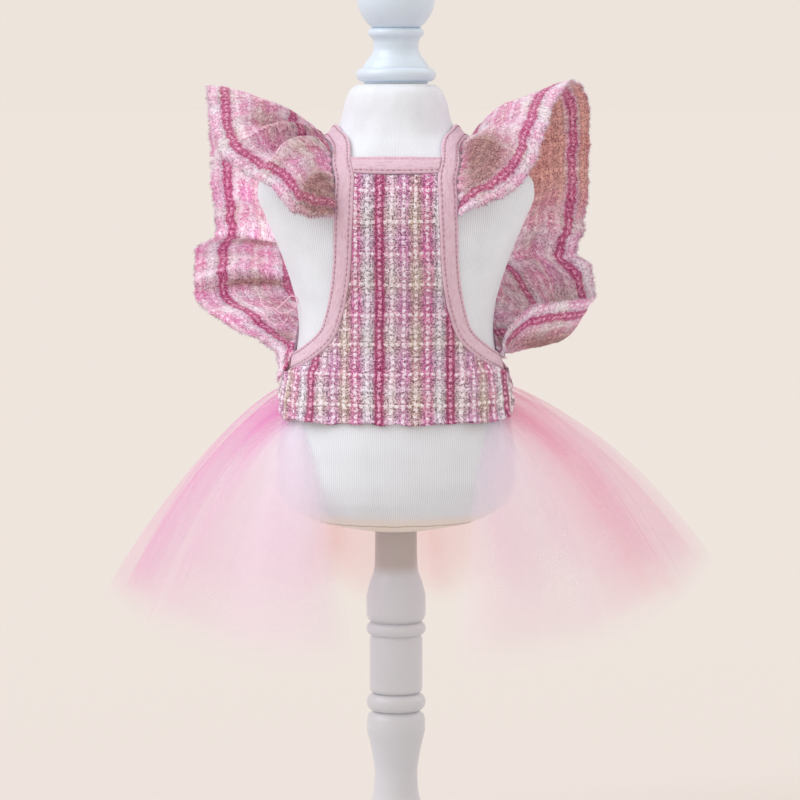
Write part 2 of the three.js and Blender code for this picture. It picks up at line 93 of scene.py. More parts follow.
# The tweed: its repeat is six warp columns wide, and its weft rows are strong and faint by turns.
WARP = 6.15
WEFT = 8.0
COLUMNS = 6
BEADS = 2.5  # beads of a warp thread from one weft row to the next
CHEST_MAGENTA = -8.3  # where a magenta column runs on the chest, from the centre line
CHEST_ROW = 280.5  # height of a white weft row on the chest
FRILL_MAGENTA = 9.4  # from a frill's free edge in to its magenta column
PANEL_SUNK, FRILL_SUNK = 0.25, 0.22  # how far the cloth lies inside its solid between the slubs
FRILL_ROOT, FRILL_RISE = 0.8 + 1.6 * SEAM, 1.15  # a frill's root: from the tape's edge, and out beyond EASE
FRILL_GRID = (360, 62)  # points along a frill, and out from its root
DROOP_AT, DROOP_WIDTH = 0.72, 0.2  # where a frill sags, from its root (0) to its edge (1), and over how much
FRINGE_FIBRES, FRINGE_REACH, FIBRE_RADIUS = 3600, 1.9, 0.14
FIBRE_COLUMNS = (-6.2, -6.0, 5.9, -12.3, -18.5)  # where across the weave the fibres take their colours


# ---------------------------------------------------------------- curves through short tables
class Table:
    """Rows of named columns, and smooth curves through the columns that never overshoot their rows."""

    def __init__(self, names, *rows):
        self.names = names.split()
        self.rows = np.array(rows, float)

    def column(self, name):
        return self.rows[:, self.names.index(name)]

    def at(self, key, name):
        """The named column where the first column has the value key."""
        x, y = self.rows[:, 0], self.column(name)
        steps = np.diff(y) / np.diff(x)
        before, after = steps[:-1], steps[1:]
        same = before * after > 0
        inner = np.where(same, 2 * before * after / np.where(same, before + after, 1), 0)
        slopes = np.concatenate([steps[:1], inner, steps[-1:]])
        key = np.asarray(key, float)
        k = np.clip(np.searchsorted(x, key, side="right") - 1, 0, len(x) - 2)
        span = x[k + 1] - x[k]
        t = np.clip((key - x[k]) / span, 0, 1)
        t2, t3 = t * t, t * t * t
        return (
            (2 * t3 - 3 * t2 + 1) * y[k]
            + (t3 - 2 * t2 + t) * span * slopes[k]
            + (3 * t2 - 2 * t3) * y[k + 1]
            + (t3 - t2) * span * slopes[k + 1]
        )


# The form: half width and half depth of its oval section at each height.
FORM = Table(
    "z half deep",
    (FORM_FOOT, 14, 13), (161.2, 26, 23), (162.4, 31.8, 28), (164, 40.3, 35.5), (167.8, 48.8, 42.5),
    (173, 56.2, 48.5), (180, 61.2, 52.4), (191, 63.3, 54.2), (205, 63, 54), (220, 61, 52.3),
    (232, 58, 50.2), (245, 54.9, 48.2), (258, 52.7, 46.7), (270, 51.4, 46.2), (282, 52.4, 47),
    (293, 55.1, 48.8), (303, 58.3, 50.3), (317, 63.7, 51.6), (330, 69.2, 50.8), (341, 73.1, 48.2),
    (347, 72.6, 46), (352, 69.4, 43.8), (357, 62, 41.2), (362, 51, 38.2), (367, 41, 35),
    (373, 32.6, 31.2), (381, 28.9, 28.4), (389, 27, 26.6), (395.7, 24.4, 24.1), (FORM_TOP, 20.7, 20.5),
)

# Centre line of the binding round one armhole: degrees from the front centre, and height.
ARMHOLE = Table(
    "turn z",
    (90, 252), (72, 254.5), (58, 259), (43.5, 268.5), (35.9, 282), (28.8, 301), (23.4, 326), (21.3, 341),
    (22.4, 352), (37, 364.5), (60, 371), (84, 373), (101, 367.5), (112, 353.5), (117, 334), (117, 308),
    (113, 284), (105, 263),
)

# A frill's free edge at shares of the way round the armhole, how far its middle bulges up (rise) and
# forwards (push), how far its weave has slipped towards the root (slack), and how far it sags (droop).
FRILL_RIGHT = Table(
    "along x y z rise push slack droop",
    (0.33, 33, -50, 333, 0, 3, 0, 0), (0.365, 45, -54, 337, 3, 7, 0, 0),
    (0.405, 57, -54, 342, 7, 9, 0, 0), (0.45, 69, -49, 354, 12, 8, 0, 0),
    (0.5, 77, -39, 374, 15, 5, 0, 0), (0.545, 83, -26, 391, 15, 2, 0, 0),
    (0.59, 94, -9, 401, 11, -2, 0, 0), (0.64, 102, 10, 387, 9, -5, 0, 0),
    (0.7, 103, 25, 352, 6, -8, 0, 0), (0.76, 101, 31, 322, 4, -11, 0, 0),
    (0.81, 97, 29, 309, 2, -12, 0, 2), (0.84, 105, 22, 302, -6, -8, 0, 8),
    (0.87, 106, 12, 289, -20, -2, 0, 13), (0.905, 90, 0, 286, -32, 8, 0, 8),
    (0.935, 74, -6, 283, -32, 12, 0, 2), (0.965, 58, -8, 268, -14, 6, 0, 0),
    (0.99, 56, -7, 255, -2, 2, 0, 0),
)
FRILL_LEFT = Table(
    "along x y z rise push slack droop",
    (0.33, -32.5, -50, 331, 2, 4, 0, 0), (0.36, -41, -56, 330.5, 9, 9, 0, 0),
    (0.395, -53, -58, 333.5, 18, 12, 0, 0), (0.43, -64, -52, 346, 15, 6, 0, 0),
    (0.46, -78, -47, 353.5, 10, 2, 0, 0), (0.5, -91, -40, 364, 14, 5, 0, 0),
    (0.545, -97, -27, 381, 16, 3, 0, 0), (0.59, -99, -10, 398, 13, -2, 0, 0),
    (0.64, -99, 12, 385, 9, -5, 0, 0), (0.7, -99, 25, 352, 6, -8, 0, 0),
    (0.76, -97, 31, 324, 2, -11, 0, 0), (0.79, -98, 30, 317, 3, -12, 0, 0),
    (0.81, -107, 27, 311, 6, -13, 6, 0), (0.86, -108, 18, 289, 8, -10, 6, 0),
    (0.91, -92, 6, 273, 6, -4, 6, 0), (0.965, -66, 1, 259, 1, -2, 0, 0),
    (0.995, -62, -4, 250, 2, 1, 0, 0), (1.03, -62, -10, 242, 2, 3, 0, 0),
)

# The skirt: the direction it falls in at each turn, and how far out its hem reaches on each side.
FLARE = Table(
    "turn heading right left",
    (50, -42, 28, 38), (54, 8, 26, 38), (58, 68, 36, 50), (66, 76, 58, 64), (75, 80, 82, 78),
    (84, 86, 100, 88), (94, 94, 108, 92), (106, 104, 104, 90), (122, 120, 92, 84), (145, 144, 76, 74),
    (180, 180, 66, 66),
)

# Folds of the frills: where along the strip, how wide and how high, and how far out from the
# root (0) towards the free edge (1) they run. A negative height is a valley.
FOLDS_RIGHT = (
    (0.352, 0.01, 2.0, 0.75), (0.382, 0.009, -3.0, 0.6), (0.415, 0.014, 2.6, 0.7),
    (0.462, 0.02, -4.5, 0.62), (0.515, 0.013, 3.0, 0.8), (0.548, 0.007, -2.6, 0.7),
    (0.58, 0.012, 3.0, 0.8), (0.618, 0.008, 2.4, 0.8), (0.66, 0.01, -2.6, 0.9), (0.7, 0.008, 2.6, 1.0),
    (0.74, 0.012, -2.8, 0.9), (0.775, 0.006, 3.0, 0.8), (0.8, 0.01, -3.0, 1.0), (0.828, 0.005, 4.5, 1.0),
    (0.86, 0.012, -3.5, 0.9), (0.895, 0.006, 2.6, 0.7), (0.925, 0.01, -2.0, 0.7),
)
FOLDS_LEFT = (
    (0.35, 0.009, -2.5, 0.6), (0.38, 0.01, 2.2, 0.7), (0.412, 0.016, 5.0, 0.8),
    (0.446, 0.0055, -8.0, 0.92), (0.472, 0.012, 5.0, 0.85), (0.5, 0.0055, -7.5, 0.8),
    (0.53, 0.014, 4.5, 0.85), (0.566, 0.007, -3.0, 0.7), (0.6, 0.012, 2.6, 0.8), (0.648, 0.008, 2.6, 0.9),
    (0.69, 0.012, -2.8, 0.9), (0.725, 0.006, 3.0, 0.8), (0.756, 0.014, -3.6, 1.0),
    (0.786, 0.0045, 6.5, 1.1), (0.815, 0.014, -4.5, 1.1), (0.85, 0.0045, 7.0, 1.1),
    (0.882, 0.014, -4.5, 1.0), (0.915, 0.006, 3.0, 0.8), (0.945, 0.008, -1.8, 0.8),
)

# Painted shade in the hollows and creases between the folds: where along the strip and how wide, how far out
# and how wide, and how dark the painted shade is.
SHADED_HOLLOWS_RIGHT = (
    (0.425, 0.045, 0.38, 0.3, 1.7), (0.8, 0.05, 0.35, 0.3, 0.35), (0.87, 0.04, 0.25, 0.3, 0.5),
    (0.895, 0.055, 0.7, 0.12, 1.3), (0.935, 0.02, 0.2, 0.25, 0.9),
)
SHADED_HOLLOWS_LEFT = (
    (0.366, 0.034, 0.5, 0.4, 2.4), (0.448, 0.01, 0.3, 0.3, 0.5), (0.505, 0.018, 0.3, 0.3, 0.6),
    (0.54, 0.02, 0.45, 0.2, 0.6), (0.797, 0.005, 0.4, 0.45, 0.9), (0.861, 0.006, 0.4, 0.45, 1.2),
    (0.9, 0.03, 0.2, 0.25, 0.5), (0.955, 0.015, 0.3, 0.3, 0.9), (1.0, 0.01, 0.45, 0.25, 1.0),
)

# How thickly the net bunches at each turn on each side, and how it thins from the waist (0) to the hem (1)
# at the front and at the back.
BUNCHES = Table(
    "turn right left",
    (50, 0.1, 0.1), (51.5, 0.6, 0.6), (55, 0.8, 0.8), (60, 0.72, 0.8), (65, 0.66, 0.88), (71, 0.76, 0.94),
    (80, 0.8, 0.74), (88, 0.6, 0.46), (96, 0.42, 0.3), (104, 0.28, 0.24), (115, 0.28, 0.3),
    (135, 0.36, 0.4), (155, 0.5, 0.62), (180, 0.52, 0.54),
)
THINNING = Table(
    "down front back",
    (0, 1.0, 0.6), (0.15, 0.96, 0.6), (0.4, 0.84, 0.64), (0.65, 0.74, 0.72), (0.82, 0.64, 0.7),
    (0.93, 0.46, 0.44), (1, 0.0, 0.0),
)


def lerp(a, b, t):
    """From a (t = 0) to b (t = 1)."""
    return a + (b - a) * t


def smooth(x, low, high):
    """0 below low, 1 above high and a smooth step between."""
    t = np.clip((np.asarray(x, float) - low) / (high - low), 0, 1)
    return t * t * (3 - 2 * t)


def hump(x, middle, width):
    """1 at the middle, and smoothly down to nothing a couple of widths away."""
    return np.exp(-(((x - middle) / width) ** 2))


def arched(start, middle, stop, share):
    """A grid of points on the curves that leave each start towards its middle and come in to its stop."""
    t = share[..., None]
    return (1 - t) ** 2 * start[:, None] + 2 * t * (1 - t) * middle[:, None] + t**2 * stop[:, None]


def unit(vectors):
    """The same directions with a length of 1."""
    return vectors / np.linalg.norm(vectors, axis=-1, keepdims=True)


def vector(x, y, z):
    """Points or directions from their three parts."""
    return np.stack(np.broadcast_arrays(np.asarray(x, float), y, z), -1)


class Grain:
    """Smooth random values between -1 and 1 over a plane, the same at each run."""

    SIZE = 64

    def __init__(self, seed):
        self.values = np.random.default_rng(seed).uniform(-1, 1, (self.SIZE, self.SIZE))

    def at(self, x, y):
        i, j = np.floor(x).astype(int), np.floor(y).astype(int)
        fx, fy = smooth(x - i, 0, 1), smooth(y - j, 0, 1)

        def corner(a, b):
            return self.values[(i + a) % self.SIZE, (j + b) % self.SIZE]

        low = lerp(corner(0, 0), corner(1, 0), fx)
        high = lerp(corner(0, 1), corner(1, 1), fx)
        return lerp(low, high, fy)


CURLS, THREADS, BODYING, WANDER = Grain(11), Grain(23), Grain(37), Grain(41)


# ---------------------------------------------------------------- the form's surface
def surface_steps(turn, z):
    """Directions along the form's surface: per degree round it, and per mm up."""
    a = np.radians(turn)
    w, d = FORM.at(z, "half"), FORM.at(z, "deep")
    dw = FORM.at(z + 0.5, "half") - FORM.at(z - 0.5, "half")
    dd = FORM.at(z + 0.5, "deep") - FORM.at(z - 0.5, "deep")
    around = vector(w * np.cos(a), d * np.sin(a), 0) * math.radians(1)
    up = vector(dw * np.sin(a), -dd * np.cos(a), 1)
    return around, up


def on_form(turn, z, out=0.0):
    """Points on the form's surface, moved out along its normal."""
    turn, z, out = np.broadcast_arrays(np.asarray(turn, float), np.asarray(z, float), np.asarray(out, float))
    a = np.radians(turn)
    around, up = surface_steps(turn, z)
    normal = unit(np.cross(around, up))
    at = vector(FORM.at(z, "half") * np.sin(a), -FORM.at(z, "deep") * np.cos(a), z)
    return at + normal * out[..., None]


def on_cloth(turn, z, out):
    """The same for cloth, which bridges the shoulder's corner a little further out."""
    sideways = smooth(np.abs(np.sin(np.radians(turn))), 0.6, 0.9)
    corner = smooth(z, 334, 343) * (1 - smooth(z, 350, 358))
    return on_form(turn, z, out + SHOULDER_LIFT * sideways * corner)


def girth(turn, z):
    """Distance round the form from the front centre to a turn, at a height."""
    samples = 16
    share = (np.arange(samples) + 0.5) / samples
    a = np.radians(np.asarray(turn, float))
    angles = a[..., None] * share
    w, d = FORM.at(z, "half")[..., None], FORM.at(z, "deep")[..., None]
    return a * np.sqrt((w * np.cos(angles)) ** 2 + (d * np.sin(angles)) ** 2).mean(-1)


class ClosedLine:
    """A closed centripetal Catmull-Rom curve through (turn, height) points, by shares of its length."""

    DIVISIONS = 200

    def __init__(self, points):
        self.points = points
        self.parameters = np.linspace(0, 1, self.DIVISIONS + 1)
        line = self.point(self.parameters)
        lengths = np.linalg.norm(np.diff(line, axis=0), axis=1)
        self.lengths = np.concatenate([[0], np.cumsum(lengths)])

    def point(self, t):
        count = len(self.points)
        place = np.asarray(t, float) * count
        first = np.floor(place).astype(int)
        weight = (place - first)[..., None]
        p0, p1, p2, p3 = (self.points[(first + k) % count] for k in (-1, 0, 1, 2))
        gaps = (p1 - p0, p2 - p1, p3 - p2)
        d0, d1, d2 = (np.sqrt(np.linalg.norm(gap, axis=-1, keepdims=True)) for gap in gaps)
        start = ((p1 - p0) / d0 - (p2 - p0) / (d0 + d1) + (p2 - p1) / d1) * d1
        stop = ((p2 - p1) / d1 - (p3 - p1) / (d1 + d2) + (p3 - p2) / d2) * d1
        square = 3 * (p2 - p1) - 2 * start - stop
        cube = 2 * (p1 - p2) + start + stop
        return p1 + weight * (start + weight * (square + weight * cube))

    def at(self, share):
        """The point and the direction at a share of the length."""
        wrapped = np.mod(share, 1)
        t = np.interp(wrapped * self.lengths[-1], self.lengths, self.parameters)
        nudge = 1e-4
        before, after = np.clip(t - nudge, 0, 1), np.clip(t + nudge, 0, 1)
        return self.point(t), unit(self.point(after) - self.point(before))


ARMHOLE_LINE = ClosedLine(ARMHOLE.rows)


def beside_armhole(share, across):
    """(turn, height) beside the armhole's centre line: across is positive towards the panels."""
    at, along = ARMHOLE_LINE.at(share)
    around, up = surface_steps(at[..., 0], at[..., 1])
    rr, ru, uu = ((a * b).sum(-1) for a, b in ((around, around), (around, up), (up, up)))
    turn = -(ru * along[..., 0] + uu * along[..., 1])
    z = rr * along[..., 0] + ru * along[..., 1]
    length = np.sqrt(rr * turn**2 + 2 * ru * turn * z + uu * z**2)
    return at[..., 0] + across * turn / length, at[..., 1] + across * z / length


def panel_edge(share):
    """(turn, height) of the panels' edge at a share of the way round the armhole."""
    return beside_armhole(share, BINDING_WIDTH / 2 + SEAM)


def edge_share(column, value, low, high):
    """The share of the way round the armhole where the panels' edge passes a turn (0) or a height (1)."""
    rising = panel_edge(high)[column] > panel_edge(low)[column]
    for _ in range(30):
        middle = (low + high) / 2
        if (panel_edge(middle)[column] < value) == rising:
            low = middle
        else:
            high = middle
    return (low + high) / 2


# ---------------------------------------------------------------- meshes
def add_piece(name, mesh, replaced, material):
    """A finished piece from its mesh, smooth all over."""
    mesh.shade_smooth()
    piece = bpy.data.objects.new(name, mesh)
    bpy.context.scene.collection.objects.link(piece)
    return settle(piece, replaced, material)


def settle(piece, replaced, material):
    """Gives a piece its material, its body, and the nodes that it takes the place of."""
    piece.data.materials.append(bpy.data.materials[material])
    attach(piece, BODY)
    if replaced:
        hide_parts(*replaced)
    return piece


def place(points):
    """Millimetres above the datum to metres above the floor."""
    return (points + (0, 0, DATUM)) * MM


def mesh_of(name, points, faces, uv=None, values=None):
    """A mesh from arrays, with the cloth's own coordinates as its UV map and values at its points."""
    mesh = bpy.data.meshes.new(name)
    mesh.from_pydata(points.tolist(), [], faces.tolist() if hasattr(faces, "tolist") else faces)
    if uv is not None:
        corners = np.empty(len(mesh.loops), np.int32)
        mesh.loops.foreach_get("vertex_index", corners)
        layer = mesh.uv_layers.new(name="cloth")
        layer.uv.foreach_set("vector", uv[corners].astype(np.float32).ravel())
    for key, value in (values or {}).items():
        attribute = mesh.attributes.new(key, "FLOAT", "POINT")
        attribute.data.foreach_set("value", value.astype(np.float32).ravel())
    mesh.validate()
    return mesh


def outward(points, faces):
    """Quads turned so that they face out of the solid that they close."""
    a, b, c, d = (points[faces[:, k]] for k in range(4))
    volume = (a * np.cross(b, c)).sum() + (a * np.cross(c, d)).sum()
    return faces[:, ::-1] if volume < 0 else faces


def swept(sections, ring=False, caps=True):
    """Points and faces of closed sections in a row, with strips over both ends or joined into a ring."""
    rows, count = sections.shape[:2]
    here = np.arange(rows if ring else rows - 1)[:, None] * count
    following = (here + count) % (rows * count)
    k = np.arange(count)
    after = (k + 1) % count
    sides = np.stack([here + k, here + after, following + after, following + k], -1).reshape(-1, 4)
    parts = [sides]
    if caps and not ring:
        first = np.arange(count // 2 - 1)
        strip = np.stack([first, count - 1 - first, count - 2 - first, first + 1], -1)
        parts += [strip, strip[:, ::-1] + (rows - 1) * count]
    points = sections.reshape(-1, 3)
    return points, outward(points, np.concatenate(parts))


def doubled(outer, inner):
    """Values of a shell's two sides in the order of its sections' points."""
    return np.concatenate([outer, inner[:, ::-1]], axis=1)


def shell(name, outer, inner, uv, values):
    """A closed wall from its two sides, each a grid of points."""
    points, faces = swept(doubled(outer, inner))
    both = {key: doubled(*value).ravel() for key, value in values.items()}
    return mesh_of(name, place(points), faces, doubled(uv, uv).reshape(-1, 2), both)


def grid_normals(points):
    """Unit normals of a grid of points, from its rows crossed with its columns."""
    along = np.gradient(points, axis=0)
    across = np.gradient(points, axis=1)
    return unit(np.cross(along, across))


def travelled(points, axis):
    """Distance travelled along one axis of a grid of points."""
    steps = np.linalg.norm(np.diff(points, axis=axis), axis=-1)
    start = np.zeros_like(np.take(steps, [0], axis=axis))
    return np.cumsum(np.concatenate([start, steps], axis=axis), axis=axis)


def strands(name, paths, radii, uv, sides=3):
    """Many thin tubes as one mesh: paths is (strands, points, 3), radii (strands, points)."""
    count, length = paths.shape[:2]
    along = unit(np.gradient(paths, axis=1))
    helper = np.where(np.abs(along[..., 2:]) > 0.8, (1.0, 0.0, 0.0), (0.0, 0.0, 1.0))
    first = unit(np.cross(along, helper))
    second = np.cross(along, first)
    angles = np.arange(sides) * 2 * math.pi / sides
    ring = first[:, :, None] * np.cos(angles)[:, None] + second[:, :, None] * np.sin(angles)[:, None]
    points = paths[:, :, None] + ring * radii[:, :, None, None]
    base = (np.arange(count)[:, None, None] * length + np.arange(length - 1)[:, None]) * sides
    k = np.arange(sides)
    after = (k + 1) % sides
    walls = np.stack([base + k, base + after, base + sides + after, base + sides + k], -1).reshape(-1, 4)
    starts = (np.arange(count) * length * sides)[:, None]
    ends = starts + (length - 1) * sides
    caps = [(starts + k[::-1]).tolist(), (ends + k).tolist()]
    faces = walls.tolist() + caps[0] + caps[1]
    around = np.broadcast_to(uv[:, None, None], (count, length, sides, 2)).reshape(-1, 2)
    return mesh_of(name, place(points.reshape(-1, 3)), faces, around)


# ---------------------------------------------------------------- shaders
def tint(red, green, blue):
    """A colour from 0 to 255 as shown on a screen, as the light that it stands for."""

    def channel(c):
        return c / 12.92 if c <= 0.04045 else ((c + 0.055) / 1.055) ** 2.4

    return tuple(channel(c / 255) for c in (red, green, blue))


class Value:
    """A socket that takes part in arithmetic: an expression on values adds its Math nodes."""

    def __init__(self, shader, socket):
        self.shader = shader
        self.socket = socket

    def math(self, operation, *others):
        inputs = dict(enumerate((self, *others)))
        return self.shader.node("Math", {"operation": operation}, inputs)

    def __add__(self, other):
        return self.math("ADD", other)

    __radd__ = __add__

    def __mul__(self, other):
        return self.math("MULTIPLY", other)

    __rmul__ = __mul__

    def __sub__(self, other):
        return self.math("SUBTRACT", other)

    def __rsub__(self, other):
        return self.shader.node("Math", {"operation": "SUBTRACT"}, {0: other, 1: self})

    def __truediv__(self, other):
        return self.math("DIVIDE", other)

    def __rtruediv__(self, other):
        return self.shader.node("Math", {"operation": "DIVIDE"}, {0: other, 1: self})

    def clamped(self):
        return self.math("MAXIMUM", 0.0).math("MINIMUM", 1.0)

    def between(self, low, high):
        """0 below low, 1 above high and a smooth step between."""
        settings = {"interpolation_type": "SMOOTHSTEP"}
        return self.shader.node("MapRange", settings, {0: self, 1: low, 2: high})


class Shader:
    """One material's node tree."""

    def __init__(self, name):
        self.material = bpy.data.materials.new(name)
        self.material.use_nodes = True
        self.tree = self.material.node_tree
        self.tree.nodes.clear()

    def node(self, kind, settings=None, inputs=None, output=0):
        """Adds a node: its settings first, and then the values or links of its sockets."""
        made = self.tree.nodes.new("ShaderNode" + kind)
        for key, value in (settings or {}).items():
            if key == "stops":
                self.set_stops(made.color_ramp, value)
            else:
                setattr(made, key, value)
        for key, value in (inputs or {}).items():
            if isinstance(value, Value):
                self.tree.links.new(value.socket, made.inputs[key])
            else:
                made.inputs[key].default_value = value
        return Value(self, made.outputs[output])

    @staticmethod
    def set_stops(ramp, stops):
        for _ in range(len(stops) - len(ramp.elements)):
            ramp.elements.new(0.5)
        for element, (position, colour) in zip(ramp.elements, stops):
            element.position = position
            element.color = (*colour, 1)

    def mix(self, factor, first, second):
        """Mixes two colours."""
        first, second = (c if isinstance(c, Value) else (*c, 1) for c in (first, second))
        return self.node("Mix", {"data_type": "RGBA"}, {0: factor, 6: first, 7: second}, output=2)

    def cloth(self):
        """The cloth's own coordinates, in millimetres, as a vector and as its two parts."""
        at = self.node("UVMap", {"uv_map": "cloth"})
        u, v = (self.node("SeparateXYZ", inputs={0: at}, output=k) for k in (0, 1))
        return at, u, v

    def value(self, name):
        """A value kept at the mesh's points."""
        return self.node("Attribute", {"attribute_name": name}, output="Fac")

    def noise(self, at, scale, detail=2.0, roughness=0.5):
        inputs = {"Vector": at, "Scale": scale, "Detail": detail, "Roughness": roughness}
        return self.node("TexNoise", inputs=inputs)

    def bump(self, height, distance, strength):
        return self.node("Bump", inputs={"Height": height, "Distance": distance, "Strength": strength})

    def principled(self, **inputs):
        """The main shader, its sockets named in lower case with underscores."""
        named = {key.replace("_", " ").title().replace("Ior", "IOR"): value for key, value in inputs.items()}
        return self.node("BsdfPrincipled", inputs=named)

    def finish(self, surface):
        output = self.tree.nodes.new("ShaderNodeOutputMaterial")
        self.tree.links.new(surface.socket, output.inputs["Surface"])


def warp_stops(look):
    """The six columns' colours as ramp stops: each holds over its column, with short changes between."""
    colours = [look.magenta, look.white, look.mauve, look.beige, look.rose, look.ice]
    edge = 0.16 / COLUMNS
    stops = []
    for k, colour in enumerate(colours + colours[:1]):
        middle = k / COLUMNS
        low, high = middle - 0.5 / COLUMNS + edge, middle + 0.5 / COLUMNS - edge
        stops += [(position, colour) for position in (low, high) if 0 <= position <= 1]
    return [(0.0, look.magenta)] + stops + [(1.0, look.magenta)]


def tweed_material(look):
    """Boucle tweed: dyed warp columns round light beaded threads, light weft rows and curled loops.

    Its points hold how much of the browner wrong side shows, partly as painted shade, how much wear and
    fluff the cloth has, a value that also paints light onto it, how strong the painted shade of its hollows
    is, and how strongly it glows with painted light where light would come through it.
    """
    s = Shader("boucle tweed")
    at, u, v = s.cloth()
    wrong, worn = s.value("wrong"), s.value("worn")
    wander = s.noise(at, 0.3, 2.0) - 0.5
    stray = s.noise(at, 1.0, 1.0) - 0.5
    # Where a point lies among the columns and rows, and the colour that they have there.
    across = u / WARP + wander * (worn * 0.35 + 0.1) + stray * 0.12
    lengthwise = v / WEFT + wander * 0.14 + stray * 0.1
    column = (across / COLUMNS).math("FRACT")
    from_magenta = ((column + 0.5).math("FRACT") - 0.5).math("ABSOLUTE") * COLUMNS
    offset = ((across + 0.5).math("FRACT") - 0.5).math("ABSOLUTE")
    number = (across + 0.5).math("FLOOR")
    row_offset = ((lengthwise + 0.5).math("FRACT") - 0.5).math("ABSOLUTE")
    strong = (lengthwise * 0.5 + 0.25).math("FRACT").math("LESS_THAN", 0.5)
    warp = s.node("ValToRGB", {"stops": warp_stops(look)}, {0: column})
    weft_colours = [look.rose, look.mauve, look.beige, look.white, look.rose]
    weft_stops = [(k / 4, colour) for k, colour in enumerate(weft_colours)]
    weft = s.node("ValToRGB", {"stops": weft_stops}, {0: (lengthwise / 4).math("FRACT")})
    dyed = s.mix(from_magenta.between(0.2, 0.6) * 0.34 + 0.06, warp, weft)
    patches = s.noise(at, 0.09, 2.0).between(0.4, 0.62)
    mottled = s.mix(patches, look.rose, look.white)
    dyed = s.mix(worn * from_magenta.between(0.5, 0.9) * 0.6, dyed, mottled)

    # How high the beaded threads, the wefts and the curled fluff between them stand.
    jitter = s.noise(at, 0.45, 1.0) * 1.1
    bead = ((lengthwise * BEADS + number * 0.37 + jitter) * (2 * math.pi)).math("COSINE") * 0.5 + 0.5
    thread = (1.0 - offset.between(0.07, 0.25)) * (bead * 0.8 + 0.2) * (1.0 - worn * 0.3)
    cross = ((across * 2) * (2 * math.pi)).math("COSINE") * 0.35 + 0.65
    row = (1.0 - row_offset.between(0.04, 0.17)) * (strong * 0.5 + 0.5) * cross * (1.0 - worn * 0.35)
    loops = 1.0 - (s.noise(at, 0.5, 1.0, 0.5) - 0.5).math("ABSOLUTE").between(0.02, 0.055)
    curls = 1.0 - (s.noise(at, 0.78, 1.0, 0.5) - 0.5).math("ABSOLUTE").between(0.025, 0.06)
    fine = s.noise(at, 1.25, 1.0, 0.6).between(0.42, 0.58)
    filament = loops.math("MAXIMUM", curls)
    fluff = filament * 0.55 + fine * 0.45
    lit = thread.math("MAXIMUM", row)

    # Painted shade between the threads and painted light on top of them; then the wrong side, the painted
    # shade in the hollows and the painted glow.
    # The wear value lightens the frills' dark between the threads here and raises their threads in the
    # height below: painted light as well as real wear and fluff.
    deep = s.mix(0.9 - worn * 0.3, dyed, look.shadow)
    pinker = s.mix(0.45, look.rose, look.light)
    bright = s.mix(from_magenta.between(0.3, 0.55), pinker, look.light)
    shine = s.mix(0.42, dyed, bright)
    height = fluff * 0.68 + lit * 0.44 + worn * 0.13
    colour = s.mix(height.between(0.12, 0.52), deep, dyed)
    colour = s.mix(height.between(0.45, 0.85), colour, shine)
    colour = s.mix((lit * (fluff * 0.9 + 0.45)).between(0.3, 0.92) * 0.92, colour, bright)
    # The browner wrong side: its own colour on the panels' inner side, and painted shade where the frills'
    # values set it, in their hollows and on the right frill's back leaf.
    back = s.mix(height.between(0.1, 0.9), look.back_shadow, look.back)
    colour = s.mix(wrong * (from_magenta.between(0.4, 0.8) * 0.8 + 0.12), colour, back)
    # Painted shade in the hollows and creases of the folds, in a darker brownish tone.
    hollow_shade = s.mix(height.between(0.1, 0.95), look.hollow_shadow, look.hollow_shade)
    colour = s.mix(s.value("sunk") * (from_magenta.between(0.3, 0.6) * 0.5 + 0.38), colour, hollow_shade)
    # Painted glow: emission in the cloth's own colour, as much as the pale value asks, stands in for light
    # shining through the thin cloth.
    glow = s.mix(s.value("pale"), (0, 0, 0), colour)
    fibres = s.noise(at, 5.5, 3.0, 0.65)
    relief = s.bump(fluff * 0.4 + lit * 0.3 + fibres * 0.2, 0.0006, 0.8)
    s.finish(s.principled(base_color=colour, roughness=0.92, normal=relief, emission_color=glow,
                          emission_strength=0.35, sheen_weight=0.25, sheen_roughness=0.6))


def tape_material(look):
    """Folded bias tape: a fine slanting weave, painted a little darker where it is creased and underneath as
    shade, with painted light and shade along its wrinkles.
    """
    s = Shader("folded tape")
    at, u, v = s.cloth()
    fold = s.value("fold")
    weave = ((u + v) * 3.4).math("SINE") * 0.6 + ((u - v) * 5.2).math("SINE") * 0.4
    slant = {"Vector": at, "Rotation": (0, 0, math.radians(45)), "Scale": (1.0, 0.22, 1)}
    slanted = s.node("Mapping", inputs=slant)
    wrinkle = s.noise(slanted, 0.85, 2.0, 0.6)
    cloud = s.noise(at, 0.35, 3.0)
    speck = s.noise(at, 2.4, 2.0, 0.7)
    # Painted light and shade along the slanting wrinkles, among lighter and darker patches at random.
    colour = s.mix(((cloud + wrinkle) * 0.9 - 0.4).clamped(), look.tape_shade, look.tape_light)
    colour = s.mix(0.5, colour, look.tape)
    shaded = speck.between(0.4, 0.6) * 0.3 + weave.between(-1.0, 1.0) * 0.1
    shaded = shaded + wrinkle.between(0.5, 0.62) * 0.3
    colour = s.mix(shaded.clamped(), colour, look.tape_shade)
    # Painted shade in the creases along the stitches and on the tape's underside, from the fold value.
    colour = s.mix(fold * 0.7, colour, look.tape_shade)
    relief = s.bump(weave * 0.1 + speck * 0.6 + wrinkle * 1.6, 0.0006, 0.8)
    s.finish(s.principled(base_color=colour, roughness=0.78, normal=relief,
                          sheen_weight=0.3, sheen_roughness=0.5))


def plied_material(name, light, dark):
    """Thread of two plies that twist round each other."""
    s = Shader(name)
    _, u, _ = s.cloth()
    ply = ((u * 9.0).math("SINE") + 1.0) * 0.5
    colour = s.mix(ply * 0.6, light, dark)
    s.finish(s.principled(base_color=colour, roughness=0.55, sheen_weight=0.2))


def thread_materials(look):
    """The stitches' thread, and the paler thread end that hangs from the left frill."""
    plied_material("sewing thread", look.thread, look.thread_shade)
    plied_material("loose thread", look.loose, look.rose)


